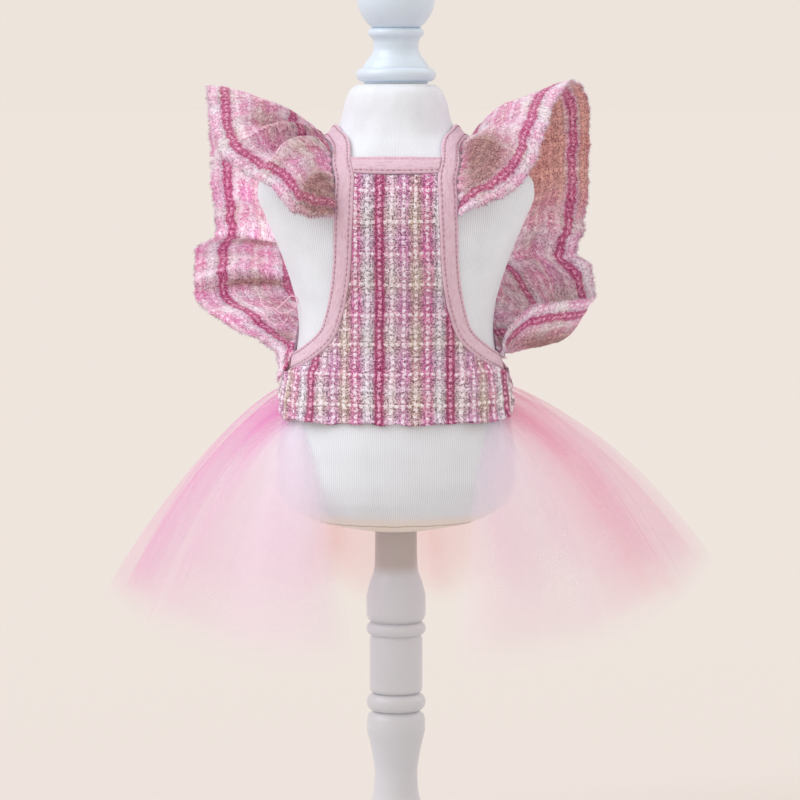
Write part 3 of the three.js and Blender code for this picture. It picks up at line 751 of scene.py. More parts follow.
def tulle_material():
    """Sheer net, lit from both sides, with a faint painted glow: the mesh's own values set its colour and
    how much of it is thread.
    """
    s = Shader("sheer net")
    at, _, _ = s.cloth()
    colour = s.node("Attribute", {"attribute_name": "dye"}, output="Color")
    cells = {"Vector": at, "Scale": 0.62, "Randomness": 0.35}
    from_thread = s.node("TexVoronoi", {"feature": "DISTANCE_TO_EDGE"}, cells)
    threads = 1.0 - from_thread.between(0.02, 0.16)
    veil = s.noise(at, 0.035, 3.0, 0.55)
    cover = (s.value("cover") * (0.97 + threads * 0.06) * (0.7 + veil * 0.6)).clamped()
    # A faint painted glow: emission in the net's own colour.
    face = s.principled(base_color=colour, roughness=0.6, sheen_weight=0.15, emission_color=colour,
                        emission_strength=0.05)
    through = s.node("BsdfTranslucent", inputs={"Color": colour})
    net = s.node("MixShader", inputs={0: 0.5, 1: face, 2: through})
    clear = s.node("BsdfTransparent")
    s.finish(s.node("MixShader", inputs={0: cover, 1: clear, 2: net}))


def knit_material(look):
    """White stretch knit with fine upright ribs."""
    s = Shader("ribbed knit")
    at, u, v = s.cloth()
    waver = s.noise(at, 0.12, 2.0) - 0.5
    rib = ((u + waver * 0.8) * (2 * math.pi / look.rib)).math("SINE") * 0.5 + 0.5
    cloud = s.noise(at, 0.05, 3.0)
    speck = s.noise(at, 1.6, 2.0, 0.6)
    tone = (rib * 0.35 + speck * 0.35 + cloud * 0.4).between(0.05, 0.85)
    colour = s.mix(tone, look.knit_shade, look.knit)
    # Painted shade: the cover is darker towards its lower part.
    colour = s.mix((1.0 - (v - DATUM).between(190.0, 330.0)) * 0.3, colour, look.knit_shade)
    below_seam = (FOOT_SEAM + FOOT_LIFT + DATUM) - v + waver * 1.5
    # Painted shade with warm bounced light: the cover turns a warmer tone below the seam round its foot.
    colour = s.mix(below_seam.between(-9.0, 1.0) * 0.8, colour, look.foot)
    # Painted shade: a dark line along the crease of the seam round the foot.
    colour = s.mix((1.0 - below_seam.math("ABSOLUTE").between(0.1, 0.5)) * 0.7, colour, look.seam)
    relief = s.bump(rib * 0.7 + speck * 0.5, 0.00012, 0.6)
    s.finish(s.principled(base_color=colour, roughness=0.88, normal=relief,
                          sheen_weight=0.2, sheen_roughness=0.5))


def paint_material(look):
    """Turned wood under white semi-gloss paint, faintly uneven, with painted light and shade up its height
    and a painted shadow band just under the form.
    """
    s = Shader("white paint")
    at = s.node("TexCoord", output="Object")
    cloud = s.noise(at, 28.0, 3.0)
    brush = s.noise(s.node("Mapping", inputs={"Vector": at, "Scale": (60, 60, 420)}), 1.0, 2.0)
    height = s.node("SeparateXYZ", inputs={0: at}, output=2)
    # Painted light and shade: the paint is lighter and cooler towards the top, greyer towards the foot.
    colour = s.mix(height.between(0.12, 0.46), look.paint_shaded_low, look.paint)
    colour = s.mix(cloud * 0.4, colour, look.paint_shade)
    # Painted shadow: a taupe band round the post just under the form, where the form casts its shadow.
    socket = (height + cloud * 0.004).between(0.168, 0.176) * (1.0 - height.between(0.19, 0.195))
    colour = s.mix(socket * 0.75, colour, look.socket)
    relief = s.bump(brush * 0.6 + cloud * 0.4, 0.00008, 0.5)
    s.finish(s.principled(base_color=colour, roughness=cloud * 0.16 + 0.26, normal=relief,
                          coat_weight=0.25, coat_roughness=0.2))


def floor_material(look):
    """Plain pale board with the faintest mottling."""
    s = Shader("pale board")
    at = s.node("TexCoord", output="Object")
    cloud = s.noise(at, 0.8, 2.0)
    colour = s.mix(cloud * 0.25, look.floor, look.floor_shade)
    s.finish(s.principled(base_color=colour, roughness=1.0, specular_ior_level=0.0))


# ---------------------------------------------------------------- settings
def colour_setting(name, words, *rgb):
    """A colour setting, its default given from 0 to 255 as shown on a screen."""
    return FloatVectorProperty(name=name, description=words, subtype="COLOR", size=3, min=0, max=1,
                               default=tint(*rgb))


def number_setting(name, words, default, min=0, **limits):
    """A setting that is a number, 0 or more unless it says otherwise."""
    return FloatProperty(name=name, description=words, default=default, min=min, **limits)


class PETDRESS_PG_cloth(bpy.types.PropertyGroup):
    """Colours and sizes of the dress's cloths."""

    magenta: colour_setting("Magenta", "The tweed's strongest warp column", 176, 4, 104)
    white: colour_setting("White", "The tweed's thin white column", 240, 222, 234)
    mauve: colour_setting("Mauve", "The tweed's greyed pink column", 222, 156, 208)
    beige: colour_setting("Beige", "The tweed's olive beige column", 212, 188, 168)
    rose: colour_setting("Rose", "The tweed's mid pink column", 232, 116, 182)
    ice: colour_setting("Ice", "The tweed's blue-white column", 228, 230, 244)
    # The wrong side's own browner colour, also used as painted shade on the frills.
    back: colour_setting("Wrong side", "The tweed's browner wrong side", 230, 168, 154)
    back_shadow: colour_setting("Wrong side shadow", "Between the threads of the wrong side", 132, 66, 66)
    # The colours of the painted shade in the hollows and creases of the frills' folds.
    hollow_shade: colour_setting("Hollow", "The tweed in the hollows of the folds", 178, 130, 124)
    hollow_shadow: colour_setting("Hollow shadow", "Between the threads in the hollows", 92, 50, 58)
    light: colour_setting("Thread light", "The light side of the threads", 250, 244, 255)
    shadow: colour_setting("Thread shadow", "Between the threads", 88, 32, 68)
    tape: colour_setting("Tape", "The folded binding", 245, 226, 243)
    tape_light: colour_setting("Tape light", "The binding's lighter patches", 244, 218, 236)
    tape_shade: colour_setting("Tape shade", "The binding's creases", 206, 158, 180)
    thread: colour_setting("Thread", "The stitches", 196, 156, 172)
    thread_shade: colour_setting("Thread shade", "Between the thread's plies", 120, 86, 98)
    loose: colour_setting("Loose thread", "The thread end on the left frill", 255, 226, 234)
    tulle_left: colour_setting("Tulle left", "The net on the viewer's left", 240, 148, 210)
    tulle_right: colour_setting("Tulle right", "The net on the viewer's right", 242, 160, 194)
    tulle_veil: colour_setting("Tulle veil", "The net where it hangs thinnest", 250, 242, 252)
    tulle_mist: colour_setting("Tulle mist", "The net where it lies in thin sheets", 238, 200, 228)
    # The painted shade of the net behind the form.
    tulle_back_shade: colour_setting("Tulle back", "The net behind the form", 244, 184, 190)
    density: number_setting("Tulle density", "Share of the light that one layer stops at its gathered root",
                            0.5, min=0.05, max=1, subtype="FACTOR")
    slub: number_setting("Slub height", "How far the slubs stand out of the tweed, in mm", 0.62, max=2)


class PETDRESS_PG_form(bpy.types.PropertyGroup):
    """Colours and sizes of the form and its stand."""

    knit: colour_setting("Knit", "The form's cover", 238, 246, 255)
    knit_shade: colour_setting("Knit shade", "Between the cover's ribs", 206, 210, 218)
    # Foot and seam: the colours of the painted shade under the form and along the crease of its seam.
    foot: colour_setting("Foot", "The cover where it is drawn in under the form", 238, 222, 206)
    seam: colour_setting("Seam", "The gathered seam round the foot", 150, 128, 118)
    # The paint's lit colour high up, and its painted shade towards the foot.
    paint: colour_setting("Paint", "The stand's paint", 214, 231, 246)
    paint_shaded_low: colour_setting("Paint, lower", "The stand's paint towards its foot", 208, 208, 212)
    paint_shade: colour_setting("Paint shade", "The paint's thinner patches", 200, 212, 226)
    # The colour of the painted shadow that the form casts round the post's top.
    socket: colour_setting("Socket", "The bare top of the post, that the form slides on", 176, 162, 156)
    rib: number_setting("Rib pitch", "Distance between the cover's ribs, in mm", 1.25, min=0.5, max=5)
    sides: IntProperty(name="Sides", description="Sides of the turned pieces", default=96, min=24, max=256)


class PETDRESS_PG_stage(bpy.types.PropertyGroup):
    """The floor, the light and the camera."""

    floor: colour_setting("Floor", "The pale floor", 216, 212, 208)
    floor_shade: colour_setting("Floor shade", "The floor's mottling", 213, 208, 203)
    sky: colour_setting("Surroundings", "The even light from all round", 237, 228, 220)
    lamp: colour_setting("Lamps", "The soft lights' colour", 246, 249, 255)
    sky_power: number_setting("Surroundings strength", "Strength of the even light", 1.0, max=5)
    key: number_setting("Key light", "Strength of the soft light from the upper left", 1.6)
    fill: number_setting("Fill light", "Strength of the soft light from the right and behind", 0.4)
    spread: number_setting("Spread", "Apparent width of the soft lights", math.radians(50), unit="ROTATION")
    distance: number_setting("Camera distance", "From the object's axis", 2.01, min=0.3, unit="LENGTH")
    height: number_setting("Camera height", "Above the floor", 0.427, unit="LENGTH")
    pitch: number_setting("Camera pitch", "How far the camera looks down", math.radians(4.75),
                          min=-math.pi / 2, unit="ROTATION")


# ---------------------------------------------------------------- tweed
def weave(u, v):
    """How far the tweed's threads stand out at cloth coordinates, from 0 to about 1."""
    across, lengthwise = u / WARP, v / WEFT
    column, row = np.round(across), np.round(lengthwise)
    bead = 0.5 + 0.5 * np.cos(2 * math.pi * (lengthwise * BEADS + column * 0.37))
    thread = hump(across, column, 0.19) * (0.35 + 0.65 * bead)
    weft = hump(lengthwise, row, 0.12) * np.where(row % 2 == 0, 0.95, 0.5)
    curl = CURLS.at(u / 1.1, v / 1.1) * 0.2 + THREADS.at(u / 2.3, v / 2.6) * 0.16
    return np.clip(np.maximum(thread, weft) * 0.8 + curl + 0.2, 0, 1.3)


def hem_height(turn):
    """Height of the panels' hem: level across the chest, and higher behind the side seams."""
    return lerp(HEM_FRONT, HEM_BACK, smooth(turn, 62, 98))


def panel_ease(turn, z):
    """How far the panels stand off the form: further out where the tulle is sewn in under them."""
    from_front = np.abs(np.where(turn > 180, 360 - turn, turn))
    beside = smooth(from_front, SKIRT_FRONT - 18, SKIRT_FRONT - 8)
    below = 1 - smooth(z, SKIRT_ROOT + 3, SKIRT_ROOT + 11)
    return EASE + 2 * (TULLE + SEAM) * beside * below


def panel_rows(seam_turn, hem, start_share, stop_share, neck, seam_steps, arm_steps):
    """A panel's rows from hem to neck: middle height, and turn and height where the row ends."""
    start_z = panel_edge(start_share)[1]
    underarm = lerp(hem, neck, UNDERARM)
    up = np.linspace(0, 1, seam_steps + 1)[:-1]
    seam = np.stack([lerp(hem, underarm, up), np.full_like(up, seam_turn),
                     lerp(hem_height(SIDE_SEAM), start_z, up)], -1)
    turn, z = panel_edge(np.linspace(start_share, stop_share, arm_steps))
    stop_z = panel_edge(stop_share)[1]
    arm = np.stack([lerp(underarm, neck, (z - start_z) / (stop_z - start_z)), turn, z], -1)
    return np.concatenate([seam, arm])


def neck_edge(height, turn):
    """Height of a panel's upper edge, below the neck binding that is centred on a height."""
    z = np.asarray(height(turn), float)
    _, up = surface_steps(np.asarray(turn, float), z)
    return z - (BINDING_WIDTH / 2 + 2 * SEAM) / np.linalg.norm(up)


def front_neck(turn):
    return NECKLINE_FRONT + 0 * turn


def back_neck(turn):
    return lerp(NECKLINE_BACK, NECKLINE_BACK_END, ((turn - 180) / 70) ** 2)


def tweed_panel(name, centre, rows, columns, look, replaced):
    """A tweed panel over the form, its slubs raised, with puckers at its sides and an uneven hem."""
    share = np.linspace(-1, 1, columns)
    turn = centre + share * (rows[:, 1:2] - centre)
    above_hem = np.linspace(0, 1, len(rows))[:, None]
    cut = share**2
    if centre == 0:
        cut = (hem_height(np.abs(turn)) - HEM_FRONT) / (hem_height(SIDE_SEAM) - HEM_FRONT)
    z = lerp(rows[:, 0:1], rows[:, 2:3], lerp(cut, share**2, smooth(above_hem, 0, 0.3)))
    u = girth(turn - centre, z)

    # It puckers beside the side seams, and its hem wanders.
    side = smooth(np.abs(u), 38, 62) * (1 - smooth(z, 250, 272))
    pucker = np.sin(u / 1.15 + 1.3 * BODYING.at(u / 14, z / 9)) * side
    lie = BODYING.at(u / 21 + 5, z / 26) * 0.35
    uneven = 1 - smooth(z - rows[0, 0], 0, 9)
    z = z + uneven * 0.7 * WANDER.at(u / 7, np.zeros_like(u))

    cloth_u = u - CHEST_MAGENTA + side * 1.6 * BODYING.at(u / 8, z / 7) + 0.5 * WANDER.at(u / 18, z / 15)
    cloth_v = z - CHEST_ROW + 0.8 * WANDER.at(u / 16, z / 20) + side * 1.5 * BODYING.at(u / 9 + 7, z / 9)
    height = weave(cloth_u, cloth_v)
    edge = smooth(z - z[0], 0, 1.4)
    rolled = (1 - smooth(z - z[0], 0.5, 5)) * 0.5
    ease = panel_ease(turn, z) + np.maximum(0.55 * (pucker + 1) * side, 0) + np.maximum(lie, 0)
    inner = on_cloth(turn, z, ease)
    slubs = (look.slub * height - PANEL_SUNK) * (0.35 + 0.65 * edge)
    outer = on_cloth(turn, z, ease + TWEED + rolled + slubs)
    none = np.zeros_like(u)
    values = {"wrong": (none, none + 1), "worn": (none, none), "pale": (none, none), "sunk": (none, none)}
    mesh = shell(name, outer, inner, np.stack([cloth_u, cloth_v], -1), values)
    return add_piece(name, mesh, replaced, "boucle tweed")


def bodice_panel(name, centre, seam_turn, hem, neck, neck_end, search, counts, look):
    """The chest or back panel between its hem and its neck.

    Its neck ends at a turn, between the two shares of the way round the armhole that are searched. The
    counts are its rows beside the side seam, its rows beside the armhole and its columns.
    """
    seam_rows, arm_rows, columns = counts
    start = edge_share(0, seam_turn, 0.0, 0.1)
    stop = edge_share(1, neck_edge(neck, neck_end), *search)
    rows = panel_rows(seam_turn, hem, start, stop, neck_edge(neck, centre), seam_rows, arm_rows)
    return tweed_panel(name, centre, rows, columns, look, [name + "_panel"])


# ---------------------------------------------------------------- bindings
def tape_section(count=13):
    """A folded tape's section, round from one edge over the top: across, out from the form, and how much
    painted shade its creases take.
    """
    half, top, bottom = BINDING_WIDTH / 2 + TAPE_LIP, EASE + BINDING_THICK, EASE + 0.05
    middle, radius = (top + bottom) / 2, (top - bottom) / 2
    arc = np.linspace(-90, 90, 7)[1:-1]
    flat = np.linspace(-1, 1, count) * (half - radius)
    crown = TAPE_CROWN * (1 - (flat / half) ** 2)
    stitched = sum(hump(flat, side * STITCH_LINE, 0.55) for side in (-1, 1))
    upper = np.stack([flat, top + crown - STITCH_SINK * stitched, stitched], -1)

    def edge(sign, angles):
        across = sign * (half - radius + radius * np.cos(np.radians(angles)))
        return np.stack([across, middle + radius * np.sin(np.radians(angles)), 0.25 + 0 * angles], -1)

    lower = np.stack([flat[::-1], np.full(count, bottom), np.ones(count)], -1)
    return np.concatenate([edge(-1, arc), upper, edge(1, arc[::-1]), lower])


def tape_sections(locate, shares, length, section):
    """Sections along a tape: locate gives (turn, height) at shares of its length and distances across it."""
    mm = shares * length
    turn, z = locate(shares[:, None], section[:, 0][None, :])
    beat = np.cos(2 * math.pi * mm / STITCH_PITCH)[:, None]
    near = hump(np.abs(section[:, 0]), STITCH_LINE, 0.9)[None, :]
    ripple = BODYING.at(mm[:, None] / 6, section[:, 0][None, :] / 4 + 9)
    upper = (section[:, 1] > EASE + 0.6)[None, :]
    lift = np.where(upper, 0.07 * beat * near + 0.13 * ripple, 0)
    points = on_cloth(turn, z, section[:, 1][None, :] + lift)
    uv = np.stack(np.broadcast_arrays(section[:, 0][None, :] + 0 * mm[:, None], mm[:, None]), -1)
    # The painted crease shade along the tape: deepest in the stitch lines and underneath, and varying stitch
    # by stitch.
    fold = np.broadcast_to(section[:, 2][None, :], uv.shape[:2])
    return points, uv, np.clip(fold * (0.75 - 0.35 * beat), 0, 1)


def binding(name, locate, shares, length, ring, replaced, mirrored=False):
    """A folded tape as a closed piece along its line."""
    points, uv, fold = tape_sections(locate, shares, length, tape_section())
    if mirrored:
        points = points * (-1, 1, 1)
    at, faces = swept(points, ring=ring, caps=False)
    faces = faces.tolist()
    if not ring:
        count = points.shape[1]
        last = (len(points) - 1) * count
        faces += [list(range(count)), [last + k for k in range(count)][::-1]]
    mesh = mesh_of(name, place(at), faces, uv.reshape(-1, 2), {"fold": fold.ravel()})
    if not ring:
        turn_out(mesh)
    return add_piece(name, mesh, replaced, "folded tape")


def turn_out(mesh):
    """Makes a closed mesh's faces point outwards."""
    work = bmesh.new()
    work.from_mesh(mesh)
    bmesh.ops.recalc_face_normals(work, faces=work.faces)
    work.to_mesh(mesh)
    work.free()


def armhole_place(share, across):
    """(turn, height) on an armhole's tape."""
    return beside_armhole(*np.broadcast_arrays(share, across))


def line_length(locate, steps=400):
    """Length of a tape's centre line."""
    turn, z = locate(np.linspace(0, 1, steps), 0.0)
    return travelled(on_form(turn, z, EASE), 0)[-1]


def neck_place(centre, height, end, low, high):
    """A function that places a neck binding: its ends are cut to the slant of the armhole bindings."""
    samples = np.linspace(-BINDING_WIDTH / 2, BINDING_WIDTH / 2, 7)
    middle = np.asarray(height(end), float)
    _, up = surface_steps(np.asarray(float(end)), middle)
    heights = middle + samples / np.linalg.norm(up)
    reach = [panel_edge(edge_share(1, z, low, high))[0] - centre for z in heights]

    def locate(share, across):
        share, across = np.broadcast_arrays(np.asarray(share, float), np.asarray(across, float))
        turn = centre + (2 * share - 1) * np.interp(across, samples, reach)
        z = height(turn)
        _, rising = surface_steps(turn, z)
        return turn, z + across / np.linalg.norm(rising, axis=-1)

    return locate


FRONT_NECK_PLACE = neck_place(0.0, front_neck, NECK_END_FRONT, 0.36, 0.47)
BACK_NECK_PLACE = neck_place(180.0, back_neck, NECK_END_BACK, 0.6, 0.72)


def stitch_paths(locate, line):
    """The path of each stitch along a tape, in a row at a distance from the tape's centre line."""
    count = int(line_length(locate) / STITCH_PITCH)
    start = (np.arange(count) + 0.25)[:, None] / count
    steps = np.linspace(0, 1, 5)[None, :]
    turn, z = locate(start + steps * STITCH_SHARE / count, line)
    arch = EASE + BINDING_THICK - STITCH_DIP + STITCH_ARCH * np.sin(math.pi * steps) + 0 * turn
    return on_cloth(turn, z, arch)


def loose_thread():
    """A thread end that hangs in a loop from the left frill."""
    knots = np.array([
        (-72, -9, 288), (-70, -12, 283), (-65, -14, 280.5), (-60, -14, 283.5), (-55, -13, 288),
        (-51.5, -12, 286), (-54, -13, 281), (-60, -15, 279), (-65, -15, 282), (-69, -14, 279),
        (-66, -15, 274), (-60, -14, 273), (-57, -12, 277),
    ], float)
    fine = np.linspace(0, len(knots) - 1, 80)
    table = Table("k x y z", *[(k, *knot) for k, knot in enumerate(knots)])
    path = np.stack([table.at(fine, key) for key in ("x", "y", "z")], -1)[None]
    radii = np.full(path.shape[:2], LOOSE_RADIUS)
    mesh = strands("loose_thread", path, radii, np.zeros((1, 2)), sides=6)
    return add_piece("loose_thread", mesh, [], "loose thread")


# ---------------------------------------------------------------- frills
def frill_middle(table, side, along, out):
    """The middle surface of a frill: along the armhole, and out from its root (0) to its free edge (1)."""
    turn, z = beside_armhole(along, -BINDING_WIDTH / 2 - FRILL_ROOT)
    root = on_cloth(turn * side, z, EASE + FRILL_RISE)
    free = vector(*(table.at(along, key) for key in ("x", "y", "z")))
    bulge = vector(0 * along, -table.at(along, "push"), table.at(along, "rise"))
    middle = (root + free) / 2 + bulge
    droop = table.at(along, "droop")[:, None] * hump(out, DROOP_AT, DROOP_WIDTH)
    return arched(root, middle, free, out[None, :]) - vector(0, 0, 1) * droop[..., None]


def folded(along, out, folds):
    """How far a frill's folds push its surface out, over a grid."""
    push = np.zeros((len(along), len(out)))
    for at, width, height, stop in folds:
        fade = (1 - smooth(out, stop - 0.35, stop + 0.1)) * lerp(0.7, 1, smooth(out, 0.05, 0.4))
        push += height * hump(along, at, width)[:, None] * fade
    return push


def frill_values(along, out, side, hollows):
    """The tweed's values on a frill: painted shade in its hollows, a browner tone high up behind on the
    right one, partly painted shade, and a painted glow, strongest high up behind on the left one.
    """
    hollow_shade = sum(amount * hump(along, at, width)[:, None] * hump(out, far, reach)
                 for at, width, far, reach, amount in hollows)
    sunk = np.clip(hollow_shade, 0, 1)
    # The frills take the full wear value, with its painted light.
    worn = np.ones_like(sunk)
    behind = smooth(along, 0.56, 0.62)[:, None] * worn
    # The right frill's back leaf is browner, partly its wrong side's own colour and partly painted shade;
    # the pale values are a painted glow.
    if side > 0:
        browned_and_shaded = behind * (1 - smooth(along, 0.7, 0.78))[:, None] * 0.95
        pale = 0.12 + 0.25 * behind
    else:
        browned_and_shaded = 0.05 * behind
        pale = 0.12 + (0.8 - 0.5 * smooth(along, 0.78, 0.84)[:, None]) * behind
    return {"wrong": (browned_and_shaded, 0.3 * sunk), "worn": (worn, worn), "sunk": (sunk, sunk),
            "pale": (pale, 0.12 + 0.2 * behind)}


def frill_piece(name, table, side, folds, hollows, look, replaced, seed):
    """A gathered tweed strip with both of its sides, and the line of its free edge for the fringe."""
    first, last = table.rows[0, 0], table.rows[-1, 0]
    along = np.linspace(first, last, FRILL_GRID[0])
    out = np.linspace(0, 1, FRILL_GRID[1])
    middle = frill_middle(table, side, along, out)
    normal = grid_normals(middle) * side

    # Gathers at the root, folds, ripples towards the free edge, and a frayed edge.
    lengths = travelled(middle, 0)
    root_length, free_length = lengths[:, :1], lengths[:, -1:]
    gathers = np.sin(root_length / 0.85 + 2 * BODYING.at(root_length / 17, 0 * root_length + seed))
    gathers = gathers * 0.6 * (1 - smooth(out, 0.02, 0.45))[None, :]
    ripple = BODYING.at(free_length / 13 + seed, out[None, :] * 2.2)
    ripple = ripple + 0.5 * CURLS.at(free_length / 5, out[None, :] * 8)
    ends = smooth(along - first, 0, 0.012) * (1 - smooth(along, last - 0.012, last))
    fold = folded(along, out, folds) * ends[:, None] * smooth(out, 0, 0.1)[None, :]
    middle = middle + normal * (fold + gathers + ripple * out[None, :])[..., None]
    frayed = WANDER.at(free_length / 1.7 + seed, 0 * free_length) * 0.55
    frayed = frayed + WANDER.at(free_length / 6, 0 * free_length + 3) * 0.5
    outwards = unit(np.gradient(middle, axis=1))
    middle = middle + outwards * (frayed * smooth(out, 0.9, 1)[None, :])[..., None]

    # The weave over it, which stands out on both sides.
    normal = grid_normals(middle) * side
    width = travelled(middle, 1)
    u = width[:, -1:] - width
    v = np.broadcast_to(free_length, u.shape) + 0.8 * WANDER.at(u / 12 + seed, free_length / 20)
    cloth_u = u - FRILL_MAGENTA + 0.8 * WANDER.at(free_length / 14 + seed, u / 10)
    cloth_u = cloth_u - table.at(along, "slack")[:, None]
    height = weave(cloth_u, v)
    rim = smooth(u, 0, 1.2)

    def stand(amount):
        return (FRILL / 2 + (look.slub * amount * height - FRILL_SUNK) * rim) * lerp(0.5, 1, rim)

    outer = middle + normal * stand(1.0)[..., None]
    inner = middle - normal * stand(0.8)[..., None]
    values = frill_values(along, out, side, hollows)
    mesh = shell(name, outer, inner, np.stack([cloth_u, v], -1), values)
    piece = add_piece(name, mesh, replaced, "boucle tweed")
    return piece, middle[:, -1], unit(outwards[:, -1]), normal[:, -1], v[:, -1]


def fringe(name, edge, outwards, normal, lengthwise, seed):
    """Frayed ends along an edge: short curled fibres in the colours of the cloth beside them."""
    count = FRINGE_FIBRES
    random = np.random.default_rng(seed)
    spot = random.uniform(0, len(edge) - 1.001, count)
    k = spot.astype(int)
    f = (spot - k)[:, None]
    root = lerp(edge[k], edge[k + 1], f)
    away, lift = outwards[k], normal[k]
    along = unit(edge[k + 1] - edge[k])
    length = random.uniform(0.35, 1, (count, 1)) * FRINGE_REACH
    lean = random.normal(0, 0.55, (count, 1))
    rise = random.normal(0, 0.4, (count, 1))
    heading = unit(away + along * lean + lift * rise)
    curl = unit(random.normal(0, 1, (count, 3))) * 0.5
    steps = np.linspace(0, 1, 5)[None, :, None]
    start = root - away * 0.9 + lift * random.uniform(-0.5, 0.5, (count, 1))
    paths = start[:, None] + (heading[:, None] * steps + curl[:, None] * steps**2) * length[:, None]
    radii = np.broadcast_to(FIBRE_RADIUS * (1 - 0.6 * np.linspace(0, 1, 5)), (count, 5))
    across = random.choice(FIBRE_COLUMNS, count) + random.normal(0, 0.5, count)
    uv = np.stack([across, lengthwise[k] + random.normal(0, 1, count)], -1)
    return strands(name, paths, radii, uv)


# ---------------------------------------------------------------- tulle
def skirt_points(share, down, inner, look):
    """A layer of the skirt over a grid, how densely its net lies there, and the net's colour."""
    turn = lerp(SKIRT_FRONT, 360 - SKIRT_FRONT, share)
    side = np.where(turn > 180, -1.0, 1.0)
    start = np.where(turn > 180, 360 - turn, turn)
    leave = hem_height(start) - (LEAVE_INNER if inner else LEAVE_OUTER)
    out = EASE / 2 + TULLE / 2 + (0 if inner else TULLE + SEAM)
    fall = np.clip((down - SKIRT_TUCKED) / (1 - SKIRT_TUCKED), 0, 1)[None, :]
    tucked = np.clip(down / SKIRT_TUCKED, 0, 1)[None, :]

    # Each line arches from the waist to the hem, and its ends lie the layer's length apart.
    heading = np.radians(FLARE.at(start, "heading"))
    full = SKIRT_LENGTH - (SKIRT_ROOT - leave)
    length = full - (INNER_SHORTER if inner else 0)
    reach = np.where(side > 0, FLARE.at(start, "right"), FLARE.at(start, "left")) * length / full
    drop = np.sqrt(length**2 - reach**2)
    away = vector(side * np.sin(heading), -np.cos(heading), 0)

    def step(outward_mm, down_mm):
        return away * outward_mm[:, None] - vector(0, 0, 1) * down_mm[:, None]

    root = on_form(start * side, leave, out)
    shoulder = root + step(SHOULDER_OUT * reach, SHOULDER_DOWN * drop)
    hem = root + step(reach, drop)
    normal = unit(step(drop, -reach))
    falling = arched(root, shoulder, hem, fall)
    above = on_form((start * side)[:, None], lerp(SKIRT_ROOT, leave[:, None], tucked), out)
    points = np.where((down <= SKIRT_TUCKED)[None, :, None], above, falling)

    # Flutes that grow towards the hem, soft folds, and small pleats at the gathers.
    s = share[:, None]
    phase = 0.5 if inner else 0.0
    flute = FLUTE_HEIGHT * fall**1.3 * np.sin(2 * math.pi * FLUTES * s + 0.8 * np.sin(9 * s))
    flute = flute - (INNER_INSET * fall if inner else 0)
    pleats = np.sin(2 * math.pi * PLEATS * s + 3 * BODYING.at(s * 23 + phase, fall * 1.5))
    soft = SOFT_FOLDS * BODYING.at(s * 19 + phase * 9, fall * 2.0 + phase) * fall
    gathers = PLEAT_HEIGHT * pleats * smooth(fall, 0, 0.1) * (1 - fall) ** 2
    points = points + normal[:, None] * (flute + gathers + soft)[..., None]

    # How densely it lies: bunched at some turns, thinner towards the hem, and in overlapping sheets.
    bunch = np.where(side > 0, BUNCHES.at(start, "right"), BUNCHES.at(start, "left"))[:, None]
    behind = smooth(start, 108, 135)[:, None]
    thin = lerp(THINNING.at(fall, "front"), THINNING.at(fall, "back"), behind)
    saw = np.mod(s * SHEETS + 0.35 * phase + 0.25 * np.sin(17 * s), 1)
    overlap = 0.78 + 0.5 * smooth(saw, 0, 0.9) * (1 - smooth(saw, 0.93, 1))
    smoke = 1 + 0.35 * BODYING.at(s * 31 + phase * 7, fall * 3 + phase)
    cover = look.density * bunch * thin * overlap * smoke + 0.06 * (1 + pleats) * bunch * (1 - fall) ** 2

    # Its colour: a warmer pink to one side, mistier in thin sheets and behind, paler at the front, and a
    # warmer salmon pink as painted shade behind the form.
    shift = smooth(points[..., 0], -60, 60)[..., None]
    pink = lerp(np.array(look.tulle_left), np.array(look.tulle_right), shift)
    front = 1 - smooth(start, 58, 78)[:, None]
    sheets = smooth(np.abs(saw - 0.45 + 0.12 * BODYING.at(s * 13, fall * 2 + 4)), 0.18, 0.36)
    misty = np.maximum(0.75 * sheets * smooth(fall, 0.08, 0.45), 0.8 * smooth(start, 100, 125)[:, None])
    dye = lerp(pink, np.array(look.tulle_mist), np.clip(misty, 0, 1)[..., None])
    dye = lerp(dye, np.array(look.tulle_veil), front[..., None] * (1 - 0.3 * fall[..., None]))
    # Painted shade: the net behind the form takes a warmer salmon pink.
    dye = lerp(dye, np.array(look.tulle_back_shade), smooth(start, 148, 162)[:, None, None])
    return points, np.clip(cover, 0.0, 0.9), dye


def tulle_layer(name, inner, look, replaced):
    """A layer of the skirt as an open sheet that keeps its cover and colour at its points."""
    share = np.linspace(0, 1, NET_GRID[0])
    down = np.concatenate([np.linspace(0, SKIRT_TUCKED, 5)[:-1], np.linspace(SKIRT_TUCKED, 1, NET_GRID[1])])
    points, cover, dye = skirt_points(share, down, inner, look)
    rows, count = points.shape[:2]
    here = np.arange(rows - 1)[:, None] * count + np.arange(count - 1)
    faces = np.stack([here, here + 1, here + count + 1, here + count], -1).reshape(-1, 4)
    uv = np.stack([travelled(points, 0)[:, -1:] + 0 * cover, travelled(points, 1)], -1)
    mesh = mesh_of(name, place(points.reshape(-1, 3)), faces, uv.reshape(-1, 2), {"cover": cover.ravel()})
    colour = mesh.attributes.new("dye", "FLOAT_COLOR", "POINT")
    opaque = np.concatenate([dye, np.ones_like(dye[..., :1])], -1)
    colour.data.foreach_set("color", opaque.astype(np.float32).ravel())
    return add_piece(name, mesh, replaced, "sheer net")


# ---------------------------------------------------------------- form and stand
def bead(centre, radius, start, stop, steps, middle=0.0):
    """Points round a bead or ball of a turned profile, from one angle up to another: (height, radius)."""
    angles = [math.radians(lerp(start, stop, k / steps)) for k in range(steps + 1)]
    return [(centre + radius * math.sin(a), middle + radius * math.cos(a)) for a in angles]


